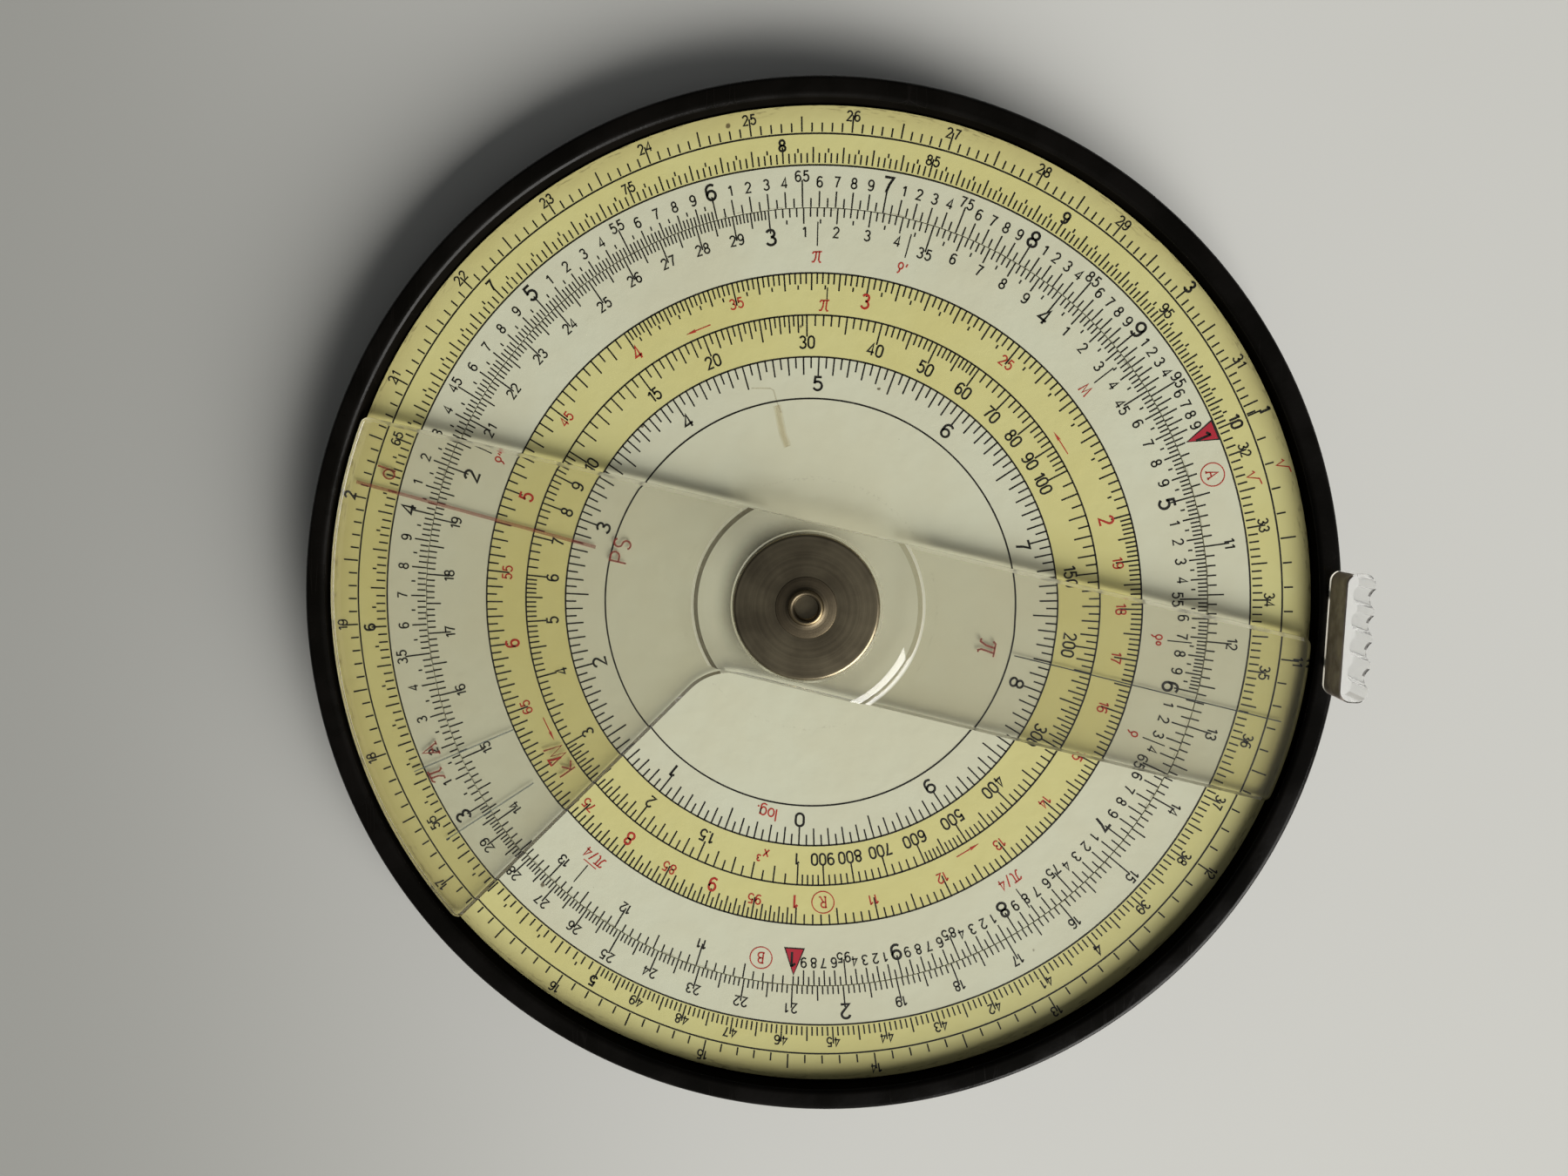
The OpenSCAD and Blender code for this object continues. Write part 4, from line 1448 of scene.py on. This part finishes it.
@dataclass
class CursorArms:
    """The clear cursor: a plate with a straight arm and a wide one, and a boss round its hub.

    Light that enters the plate from above can't leave through its upright walls, and light that enters
    through the foot of a wall doesn't reach the dial, so the edges throw soft dark bands. Beside the boss,
    which sends light out over the upper edge, the band fades away.
    """

    DEEP = srgb(66, 63, 56)
    DARK = srgb(96, 92, 84)
    DIM = srgb(150, 146, 137)
    PALE = srgb(206, 203, 196)
    LIGHT = srgb(244, 242, 236)
    FINISHES = {
        "clear": ClearPlastic("cursor_clear", srgb(246, 245, 241), 0.03, 0.16),
        "glint": ClearPlastic("cursor_glint", srgb(246, 244, 238), 0.38, 0.62, LIGHT),
        # A dark line painted on the chamfers that face the lamp.
        "dim": ClearPlastic("cursor_painted_dark_edge", srgb(104, 96, 82), 0.12, 0.3, LIGHT),
        # The wall tints are painted shade: darkest at the foot of a wall, lighter higher up, and lighter
        # still towards the stretch beside the boss where the light comes out.
        "low_wall": cursor_wall("cursor_low_wall", srgb(190, 184, 170), DARK, DEEP),
        "high_wall": cursor_wall("cursor_high_wall", srgb(206, 200, 186), LIGHT, DEEP),
        "dim_wall": cursor_wall("cursor_dim_wall", srgb(212, 207, 194), LIGHT, DIM),
        "pale_wall": cursor_wall("cursor_pale_wall", srgb(224, 220, 210), LIGHT, PALE),
        "boss_foot": ClearPlastic("boss_foot", srgb(252, 251, 246), 0.3, 0.5, LIGHT, haze=0.13),
        # The boss wall is painted dark on the side away from the lamp and pale on the side towards it.
        "boss_wall": ClearPlastic("boss_wall", srgb(80, 74, 64), 0.06, 0.2, PALE, DIM),
        "boss_lit_wall": ClearPlastic("boss_lit_wall", srgb(206, 201, 190), 0.06, 0.2, PALE, DIM),
        # The boss top has the cap's shadow painted beside the cap, darkest on the side away from the lamp.
        "boss_top": ClearPlastic("boss_top", srgb(252, 252, 250), 0.06, 0.25, haze=0.025, shaded_r=8.6),
    }
    # Upward parts of a normal that make a face flat or level, and the sideways part that faces the lamp.
    FLAT = 0.88
    LEVEL = 0.95
    LAMPWARD = 0.3

    angle: float = -13.1
    arm_w: float = 20.0
    end_r: float = 59.5
    wide_angle: float = 58.0
    wide_offset: float = 2.8
    fillet: float = 7.0
    corner: float = 1.0
    ease: float = 0.42
    foot_ease: float = 0.08
    blind_h: float = 0.9
    boss_r: float = 13.85
    # Steps of the boss from its foot upwards: how far each runs in and how far it rises.
    boss_foot: Point = (0.35, 0.12)
    boss_line: Point = (0.28, 0.25)
    boss_step: Point = (0.3, 0.38)
    boss_bevel: Point = (0.75, 0.4)
    boss_crown: float = 1.4
    boss_trim: float = 0.05
    cup_r: float = 9.2
    cup_depth: float = 0.18
    cup_bevel: float = 0.18
    lit_edge: Point = (-7.0, 9.0)
    fade: float = 2.2
    dull_end: float = 57.0
    hole_r: float = 3.06
    hole_margin: float = 1.0
    skin: float = 0.04
    spare: float = 1.0
    ink_gap: float = 0.03
    # Lines under the plate: the angle of each and the radii of its ends.
    hairline: Point3 = (-13.5, 25.5, 58.0)
    hairline_w: float = 0.14
    blue_lines: tuple[Point3, ...] = ((203.3, 40.0, 54.0), (213.3, 41.0, 54.5))
    blue_line_w: float = 0.2
    red_line: Point3 = (165.1, 27.0, 58.2)
    red_line_w: float = 0.42
    sign_w: float = 0.22

    def build(self) -> None:
        """Builds the plate with its boss, and the lines and signs on its underside."""
        low, plate, high = bottom_of("cursor_plate"), top_of("cursor_plate"), top_of("cursor_boss")
        outline = [self.turned(p) for p in self.outline()]
        levels = (
            (low, self.foot_ease), (low + self.foot_ease, 0), (low + self.blind_h / 2, 0),
            (low + self.blind_h, 0), (plate - self.ease, 0), (plate, self.ease),
        )
        solid = Solid()
        solid.prism(outline, levels)
        piece = solid.build("cursor_arms", [material(finish) for finish in self.FINISHES.values()])
        carve(piece, self.boss(plate, high), Carving.JOIN)
        hole = Solid()
        hole.prism(circle((0, 0), self.hole_r, 96), ((low - self.spare, 0), (high + self.spare, 0)))
        carve(piece, hole, Carving.CUT)
        cup = Solid()
        depths = ((high - self.cup_depth, self.cup_bevel), (high, 0), (high + self.spare, 0))
        cup.prism(circle((0, 0), self.cup_r, 96), depths)
        carve(piece, cup, Carving.CUT)
        order = list(self.FINISHES)
        for face in piece.data.polygons:
            face.material_index = order.index(self.finish_of(face, low, plate))
        round_off(piece, angle=25)
        seat(piece, Body.CURSOR, Slot.CLEAR, ("cursor_plate", "cursor_boss"))
        self.lines(low)

    def finish_of(self, face: bpy.types.MeshPolygon, low: float, plate: float) -> str:
        """Names the finish of a face.

        Args:
            face: A face of the cursor.
            low, plate: Heights of the plate's underside and of its top.

        Returns:
            A key of FINISHES.
        """
        flatness, z, radius = abs(face.normal.z), face.center.z / MM, face.center.xy.length / MM
        back = Matrix.Rotation(math.radians(-self.angle), 2)
        along, across = back @ (face.center.xy / MM)
        if z > plate + self.skin:
            if radius > self.boss_r:
                return "boss_foot"
            if self.hole_r + self.hole_margin < radius < self.cup_r and flatness < self.LEVEL:
                return "glint"
            if flatness > self.FLAT:
                return "boss_top"
            # Painted shade: the wall away from the lamp is dark, the one towards it pale.
            return "boss_wall" if along < 0 else "boss_lit_wall"
        faces_lamp = along < 0 and (back @ face.normal.xy).x > self.LAMPWARD
        if flatness < WALL_RISE:
            beyond = max(self.lit_edge[0] - along, along - self.lit_edge[1])
            if across > self.arm_w / 2 - self.ease and beyond < 2 * self.fade:
                return "clear" if beyond < 0 else "pale_wall" if beyond < self.fade else "dim_wall"
            blind = self.blind_h / 2 if faces_lamp else self.blind_h
            return "low_wall" if z < low + blind else "high_wall"
        if flatness > self.FLAT or along > self.dull_end:
            return "clear"
        # Chamfers that face the lamp get the painted dark line.
        return "dim" if faces_lamp else "glint"

    def turned(self, point: Point) -> Point:
        """Turns a point from the straight arm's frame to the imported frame."""
        return tuple(Matrix.Rotation(math.radians(self.angle), 2) @ Vector(point))

    def outline(self) -> list[Point]:
        """Returns the plan, counter-clockwise, in a frame whose X axis runs along the straight arm."""
        half = self.arm_w / 2
        edge_turn = 180 + self.wide_angle
        hub = self.meet(-half - self.fillet, edge_turn, self.fillet - self.wide_offset)
        right_low = [(x, -y) for x, y in reversed(self.corner_bend(half))]
        right_high = self.corner_bend(half)
        left_high = [(-x, y) for x, y in reversed(self.corner_bend(half))]
        lean = math.radians(edge_turn)
        bend = [Vector(p) for p in self.corner_bend(-self.wide_offset)]
        left_low = [tuple(Matrix.Rotation(lean, 2) @ p) for p in bend]
        left, right = self.lit_edge
        bounds = [right + i * self.fade for i in (2, 1, 0)] + [left - i * self.fade for i in (0, 1, 2)]
        return [
            *right_low, *self.end_arc(right_low[-1], right_high[0]), *right_high,
            *((x, half) for x in bounds),
            *left_high, *self.end_arc(left_high[-1], left_low[0]), *left_low,
            *arc(hub, self.fillet, edge_turn - 90, 90, 6),
        ]

    def end_arc(self, start: Point, stop: Point) -> list[Point]:
        """Points of an arm's round end between two corners, without the corners."""
        first, last = (math.degrees(math.atan2(p[1], p[0])) % 360 for p in (start, stop))
        return arc((0, 0), self.end_r, first, last + 360 * (last < first), 1)[1:-1]

    def corner_bend(self, edge_y: float) -> list[Point]:
        """Rounding from the end of an arm along +X to its straight upper edge, at a height edge_y."""
        y = edge_y - self.corner
        x = math.sqrt((self.end_r - self.corner) ** 2 - y * y)
        return arc((x, y), self.corner, math.degrees(math.atan2(y, x)), 90, 15)

    def meet(self, level: float, turn: float, left: float) -> Point:
        """Point where a level line meets a line of a direction, left of the origin by a distance."""
        slope = math.radians(turn)
        return (level * math.cos(slope) - left) / math.sin(slope), level

    def boss(self, plate: float, high: float) -> Solid:
        """Returns the boss: round, stepped, and trimmed to the straight edges of the plate."""
        half = self.arm_w / 2 - self.boss_trim
        inset, level = -self.boss_foot[0], plate
        levels = [(inset, plate - self.spare), (inset, plate)]
        for width, rise in (self.boss_foot, self.boss_line, self.boss_step, self.boss_bevel):
            inset += width
            level += rise
            levels.append((inset, level))
        levels.append((inset + self.boss_crown, high))
        rows = []
        for inset, z in levels:
            radius = self.boss_r - inset
            limit = math.degrees(math.asin(min(1.0, half / radius)))
            sides = steps(-limit, limit, 32) + steps(180 - limit, 180 + limit, 32)
            rows.append([(*self.turned(polar(radius, angle)), z) for angle in sides])
        tool = Solid()
        tool.skin(rows, False)
        return tool

    def lines(self, low: float) -> None:
        """Prints the hairlines and signs under the plate."""
        dark, red, thin, blue = (Print(low - self.ink_gap) for _ in range(4))
        dark.tick(*self.hairline, self.hairline_w)
        thin.tick(*self.red_line, self.red_line_w)
        for line in self.blue_lines:
            blue.tick(*line, self.blue_line_w)
        for text, spot, height in (
            ("π", Spot(22.1, -13.1), 2.3), ("PS", Spot(23.9, 164.2), 2.3), ("d", Spot(54.9, 163.0), 2.6),
            ("kW", Spot(36.6, 212.2), 2.6), ("A", Spot(51.0, 201.3), 2.3), ("π", Spot(51.5, 204.9), 2.1),
        ):
            red.text(text, spot, Letters(height, self.sign_w))
        dark.build("cursor_hairline", DARK_BLUE_INK, Body.CURSOR)
        red.build("cursor_red_signs", FADED_INK, Body.CURSOR)
        thin.build("cursor_red_line", THIN_RED_INK, Body.CURSOR)
        blue.build("cursor_blue_lines", BLUE_INK, Body.CURSOR)


def steps(start: float, stop: float, count: int) -> list[float]:
    """Gives count + 1 even values from start to stop."""
    return [start + (stop - start) * i / count for i in range(count + 1)]


@dataclass
class Hub:
    """The dull nickel cap in the middle and the spindle whose flange holds it down.

    The clear hub bends the light steeply down, so the cap throws no shadow past it on the dial; a narrow
    shadow is painted on the boss beside it instead.
    """

    NICKEL = Metal("dull_nickel", srgb(145, 134, 110), srgb(100, 91, 74), 0.33, 0.39, 1.4, 0.002)
    RUBBED = Metal("rubbed_nickel", srgb(118, 107, 87), srgb(84, 75, 60), 0.4, 0.5, 6.0)
    WORN = Metal("worn_nickel", srgb(158, 141, 109), srgb(106, 94, 72), 0.3, 0.46, 6.0)

    cap_r: float = 8.8
    cap_t: float = 0.5
    cap_round: float = 0.4
    collar_r: float = 3.7
    play: float = 0.01
    shaft_r: float = 2.1
    hollow_r: float = 1.5
    hollow_h: float = 1.2
    flange_r: float = 3.7
    flange_h: float = 0.4
    # Section of the flange: how far each point lies in from its edge and over the cap.
    flange_section: tuple[Point, ...] = (
        (0.0, 0.0), (0.06, 0.08), (0.28, 0.12), (0.52, 0.16), (1.0, 0.19), (1.36, 0.26), (1.54, 0.35)
    )
    lip_start: float = 20.0
    head_r: float = 4.5
    head_t: float = 0.8
    ease: float = 0.12

    def build(self) -> None:
        """Builds the cap and the spindle."""
        self.cap()
        self.spindle()

    def cap(self) -> None:
        """Builds the cap: a flat top, a rounded skirt and a collar under its middle."""
        low, high = bottom_of("hub_cap"), top_of("hub_cap")
        skirt, ceiling, bore = self.cap_r - self.cap_t, high - self.cap_t, self.shaft_r + self.play
        profile = [
            (skirt, low), (self.cap_r, low),
            *arc((self.cap_r - self.cap_round, high - self.cap_round), self.cap_round, 0, 90),
            (self.collar_r, high), (bore, high), (bore, low), (self.collar_r, low),
            (self.collar_r, ceiling), (skirt - self.cap_round, ceiling), (skirt, ceiling - self.cap_round),
        ]
        solid = Solid()
        solid.lathe(profile, count=192)
        piece = solid.build("nickel_cap", (material(self.NICKEL),), smooth=35)
        seat(piece, Body.BASE, Slot.NICKEL, ("hub_cap",))
        # The cap and spring throw no shadow; the boss top has a shadow painted beside the cap.
        for hidden in (piece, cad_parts["cap_spring"]):
            hidden.visible_shadow = False

    def spindle(self) -> None:
        """Builds the spindle with its lower head, its flange over the cap and the hollow in its top."""
        low, high = bottom_of("spindle"), top_of("spindle")
        cap_top, lip_r = top_of("hub_cap"), (self.shaft_r - self.hollow_r) / 2
        crest = cap_top + self.flange_h
        shaft = [
            (self.head_r - self.ease, low), (self.head_r, low + self.ease),
            (self.head_r, low + self.head_t), (self.shaft_r, low + self.head_t), (self.shaft_r, cap_top),
        ]
        flange = [(self.flange_r - inward, cap_top + rise) for inward, rise in self.flange_section]
        lip = arc((self.hollow_r + lip_r, crest), lip_r, self.lip_start, 180)
        floor_z = high - self.hollow_h
        hollow = [(self.hollow_r, floor_z + self.ease), (self.hollow_r - self.ease, floor_z)]
        outside = shaft + flange + lip + hollow
        rows = [[(r * math.cos(t), r * math.sin(t), z) for t in turns_of(128)] for r, z in outside]
        solid = Solid()
        solid.skin(rows, False)
        finishes = [material(finish) for finish in (self.NICKEL, self.RUBBED, self.WORN)]
        piece = solid.build("flanged_spindle", finishes, smooth=35)
        for face in piece.data.polygons:
            z, radius = face.center.z / MM, face.center.xy.length / MM
            face.material_index = (z > cap_top) + (z > crest and radius > self.hollow_r + lip_r)
        seat(piece, Body.BASE, Slot.NICKEL, ("spindle",))


def turns_of(count: int) -> list[float]:
    """Gives equal turns round a circle, in radians."""
    return [math.tau * i / count for i in range(count)]


@dataclass
class ThumbGrip:
    """The clear block on the rim, with finger grooves down its outer face."""

    WHITE = srgb(255, 255, 255)
    FINISHES = {
        "clear": ClearPlastic("grip_clear", srgb(254, 254, 253), 0.03, 0.12, WHITE, WHITE, 1.03, 0.12),
        # The tops of the grooves' sides are painted dark and the lower end grey: painted reflections of the
        # dark case inside the block.
        "groove": ClearPlastic("grip_groove_painted_reflection", srgb(52, 49, 45), 0.1, 0.3, WHITE, WHITE, 1.03),
        "end": ClearPlastic("grip_end_painted_reflection", srgb(176, 173, 166), 0.1, 0.3, WHITE, WHITE, 1.03),
        "inner_face": Frosted("grip_inner_face", srgb(158, 147, 138), srgb(88, 80, 74)),
        # A pale strip along the foot of the inner face: a painted light line, which also glows with the
        # light from behind.
        "pale_edge": Frosted("grip_painted_light_line", srgb(226, 221, 208), srgb(196, 190, 176), 0.6),
    }
    # Parts of a normal beyond which a face looks inwards, down a groove's side or out of the lower end.
    INNER_WAY = -0.35
    GROOVE_WAY = -0.2
    END_WAY = -0.6

    angle: float = -2.5
    inner_x: float = 61.0
    depth: float = 3.25
    width: float = 14.7
    corner: float = 1.3
    groove_r: float = 1.4
    groove_depth: float = 0.55
    groove_count: int = 4
    ease: float = 0.15
    pale_h: float = 0.55
    mark_h: float = 1.1
    pin_r: float = 0.46
    pin_row_r: float = 61.565
    pin_spacing: float = 8.0
    spare: float = 1.0

    def build(self) -> None:
        """Builds the block, with its pin holes, and ties it to the base."""
        low, high = bottom_of("thumb_grip"), top_of("thumb_grip")
        turn = Matrix.Rotation(math.radians(self.angle), 2)
        outline = [tuple(turn @ Vector(p)) for p in self.plan()]
        solid = Solid()
        levels = (
            (low, 0), (low + self.pale_h, 0), (high - self.mark_h, 0), (high - self.ease, 0),
            (high, self.ease),
        )
        solid.prism(outline, levels)
        piece = solid.build("grip_block", [material(finish) for finish in self.FINISHES.values()])
        order = list(self.FINISHES)
        for face in piece.data.polygons:
            at = turn.inverted() @ (face.center.xy / MM)
            way = turn.inverted() @ face.normal.xy
            z = face.center.z / MM
            face.material_index = order.index(self.finish_of(at, way, z - low, high - z))
        holes = Solid()
        for place in self.pin_places():
            holes.prism(circle(place, self.pin_r, 24), ((low - self.spare, 0), (top_of("grip_pins"), 0)))
        carve(piece, holes, Carving.CUT)
        round_off(piece, angle=30)
        seat(piece, Body.BASE, Slot.CLEAR, ("thumb_grip",))

    def finish_of(self, at: Vector, way: Vector, height: float, depth: float) -> str:
        """Names the finish of a face.

        Args:
            at: Middle of the face in the plan's frame.
            way: Part of its normal that lies in the plan.
            height, depth: How far its middle lies over the block's underside and under its top.

        Returns:
            A key of FINISHES.
        """
        side = self.width / 2 - self.corner
        if way.x < self.INNER_WAY:
            return "pale_edge" if height < self.pale_h else "inner_face"
        in_groove = at.x > self.inner_x + self.depth - self.groove_depth and abs(at.y) < side
        # Painted reflections: dark on the top of a groove's side and of the lower end, grey lower down the
        # end.
        if in_groove and way.y < self.GROOVE_WAY and depth < self.mark_h:
            return "groove"
        if way.y < self.END_WAY and at.y < -side:
            return "groove" if depth < self.ease else "end"
        return "clear"

    def pin_places(self) -> list[Point]:
        """Returns the middles of the pins that hold the block."""
        turn = Matrix.Rotation(math.radians(self.angle), 2)
        return [tuple(turn @ Vector((self.pin_row_r, side * self.pin_spacing / 2))) for side in (-1, 1)]

    def plan(self) -> list[Point]:
        """Returns the outline, counter-clockwise, in a frame whose X axis runs outwards across the rim."""
        outer, half = self.inner_x + self.depth, self.width / 2
        inset = self.corner
        pitch = (self.width - 2 * inset) / self.groove_count
        bite = math.degrees(math.acos(1 - self.groove_depth / self.groove_r))
        points = arc((outer - inset, inset - half), inset, 270, 360)
        for i in range(self.groove_count):
            along = (i + 0.5 - self.groove_count / 2) * pitch
            middle = (outer + self.groove_r - self.groove_depth, along)
            points += arc(middle, self.groove_r, 180 + bite, 180 - bite)
        points += arc((outer - inset, half - inset), inset, 0, 90)
        points += arc((self.inner_x + inset, half - inset), inset, 90, 180)
        points += arc((self.inner_x + inset, inset - half), inset, 180, 270)
        return points


@dataclass
class Feet:
    """Felt feet in the sockets under the case."""

    count: int = 4
    radius: float = 5.0
    circle_r: float = 49.75
    first_turn: float = 45.0
    crush: float = 0.35

    def build(self) -> None:
        """Builds the feet as one piece and ties them to the base."""
        low, high = bottom_of("foot_pads"), top_of("foot_pads")
        bend = [
            (low + self.crush * (1 - y), self.crush * (1 - x)) for x, y in arc((0, 0), 1, 90, 0, 30)
        ]
        solid = Solid()
        for place in self.places():
            solid.prism(circle(place, self.radius, 64), (*bend, (high, 0)))
        felt = Fibrous("foot_felt", srgb(74, 66, 54), srgb(40, 35, 28))
        piece = solid.build("felt_feet", (material(felt),), smooth=40)
        seat(piece, Body.BASE, Slot.FELT, ("foot_pads",))

    def places(self) -> list[Point]:
        """Returns the middles of the feet."""
        return [polar(self.circle_r, self.first_turn + i * 360 / self.count) for i in range(self.count)]


class Fixings:
    """Parts whose solids keep their shape and only get a finish."""

    BRASS = Metal("brass", srgb(196, 160, 92), srgb(140, 108, 58))
    STEEL = Metal("bright_steel", srgb(168, 166, 160), srgb(118, 114, 106))
    DARK_STEEL = Metal("dark_steel", srgb(92, 90, 86), srgb(60, 58, 54))
    ALUMINIUM = Metal("aluminium", srgb(196, 198, 200), srgb(150, 150, 150), 0.3, 0.5, 5.0)
    FIBRE = Fibrous("pressed_fibre", srgb(104, 76, 48), srgb(70, 48, 28), 1800.0, 0.04)
    GREEN_FELT = Fibrous("glide_felt", srgb(66, 78, 64), srgb(38, 46, 36))
    FINISHES = {
        "back_cover": Moulding("cover_moulding"),
        "back_cover_screws": STEEL,
        "spindle_washer": STEEL,
        "spindle_bush": BRASS,
        "inner_dial_plate": ALUMINIUM,
        "inner_dial_screws": STEEL,
        "ring_glide": GREEN_FELT,
        "ring_retainer": STEEL,
        "ring_rivets": BRASS,
        "ring_plate": ALUMINIUM,
        "cursor_thrust_washer": FIBRE,
        "cursor_bush": BRASS,
        "cap_spring": DARK_STEEL,
        "grip_pins": DARK_STEEL,
    }

    def build(self) -> None:
        """Dresses every one of these solids."""
        for node, finish in self.FINISHES.items():
            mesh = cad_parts[node].data
            mesh.materials.clear()
            mesh.materials.append(material(finish))
            log.info("%s keeps its solid, finish %s", node, finish.name)


@dataclass
class Studio:
    """Pale floor with a falloff of light painted across it, soft light from one side, and the camera above
    the dial.
    """

    camera_at: Point3 = (11.478, 14.455, 179.435)
    camera_aim: Point3 = (-3.044, 1.984, 7.5)
    lens: float = 32.44
    sensor: float = 36.0
    clip_start: float = 0.01
    floor_half: float = 500.0
    floor_t: float = 10.0
    floor_tint: Color = srgb(206, 206, 202)
    floor_mottle: Color = srgb(190, 190, 186)
    painted_falloff_tint: Color = srgb(159, 159, 155)
    falloff_from: float = 20.0
    falloff_to: float = -120.0
    lamp_turn: float = -52.0
    lamp_rise: float = 26.0
    lamp_away: float = 3000.0
    lamp_size: Point = (2130.0, 2600.0)
    lamp_watts: float = 198.0
    lamp_tint: Point3 = (1.0, 0.985, 0.95)
    sky_tint: Color = (0.97, 0.99, 1.0, 1.0)
    sky_dim: float = 0.045
    sky_lit: float = 0.28
    horizon: float = 0.27
    horizon_from: float = 0.35
    horizon_to: float = 0.05

    def build(self) -> None:
        """Builds the floor, the lights and the camera."""
        self.floor()
        self.lights()
        self.camera()
        bpy.context.scene.view_settings.view_transform = "Standard"

    def floor(self) -> None:
        """Lays the floor, which the feet stand on; its colour darkens towards -X, a painted falloff of the
        lamp's light.
        """
        half = self.floor_half
        solid = Solid()
        corners = ((-half, -half), (half, -half), (half, half), (-half, half))
        solid.prism(corners, ((-self.floor_t, 0), (0.0, 0)))
        paint = Paint("pale_floor", Roughness=0.9, Specular_IOR_Level=0.1)
        cloud = paint.effect(Effect.MOTTLE, Scale=12.0)
        across = paint.graph.add("ShaderNodeSeparateXYZ", {0: paint.graph.place()}).outputs["X"]
        # Painted light falloff: the floor darkens towards -X.
        far = paint.graph.spread(across, self.falloff_from * MM, self.falloff_to * MM)
        paint.wear(self.floor_tint, (cloud, 0.12, self.floor_mottle), (far, 1.0, self.painted_falloff_tint))
        solid.build("studio_floor", (paint.material,))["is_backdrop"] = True

    def lights(self) -> None:
        """Hangs one broad lamp at the side, in a dim room that is paler near lamp and floor."""
        flat = polar(math.cos(math.radians(self.lamp_rise)), self.lamp_turn)
        away = Vector((*flat, math.sin(math.radians(self.lamp_rise))))
        lamp = bpy.data.lights.new("window_lamp", "AREA")
        lamp.shape, lamp.energy = "RECTANGLE", self.lamp_watts
        lamp.size, lamp.size_y = (length * MM for length in self.lamp_size)
        lamp.color = self.lamp_tint
        hung = bpy.data.objects.new("window_lamp", lamp)
        hung.location = away * self.lamp_away * MM
        hung.rotation_euler = away.to_track_quat("Z", "Y").to_euler()
        bpy.context.scene.collection.objects.link(hung)
        world = bpy.data.worlds.new("studio_world")
        world.use_nodes = True
        graph = Graph(world.node_tree)
        way = graph.add("ShaderNodeTexCoord").outputs["Generated"]
        product = graph.add("ShaderNodeVectorMath", {0: way, 1: away}, operation="DOT_PRODUCT")
        toward = product.outputs["Value"]
        height = graph.add("ShaderNodeSeparateXYZ", {0: way}).outputs["Z"]
        dome = graph.spread(toward, 0.0, 1.0, self.sky_dim, self.sky_lit)
        wall = graph.spread(height, self.horizon_from, self.horizon_to, 0.0, self.horizon)
        backdrop = world.node_tree.nodes["Background"]
        backdrop.inputs["Color"].default_value = self.sky_tint
        world.node_tree.links.new(graph.math("MAXIMUM", dome, wall), backdrop.inputs["Strength"])
        bpy.context.scene.world = world

    def camera(self) -> None:
        """Sets the camera over the dial, with +Y upwards in the picture."""
        back = (Vector(self.camera_at) - Vector(self.camera_aim)).normalized()
        right = Vector((0, 1, 0)).cross(back).normalized()
        view = bpy.data.cameras.new("photo_camera")
        view.lens, view.sensor_width, view.sensor_fit = self.lens, self.sensor, "HORIZONTAL"
        view.clip_start = self.clip_start
        stand = bpy.data.objects.new("photo_camera", view)
        turn = Matrix((right, back.cross(right), back)).transposed().to_4x4()
        stand.matrix_world = Matrix.Translation(Vector(self.camera_at) * MM) @ turn
        bpy.context.scene.collection.objects.link(stand)
        bpy.context.scene.camera = stand


def main() -> None:
    """Builds every sub-assembly in order and works out the bounds of the imported model and of the scene.
    """
    logging.basicConfig(level=logging.INFO, format="%(message)s")
    for assembly in (
        Studio(), CaseShell(), Feet(), DialFace(), RingFace(), CursorArms(), Hub(), ThumbGrip(), Fixings()
    ):
        log.info("building %s", type(assembly).__name__)
        assembly.build()
    boxes = {"cad": CAD_BOX, "visual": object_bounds()}
    {name: [list(corner) for corner in box] for name, box in boxes.items()}


if __name__ == "__main__":
    main()
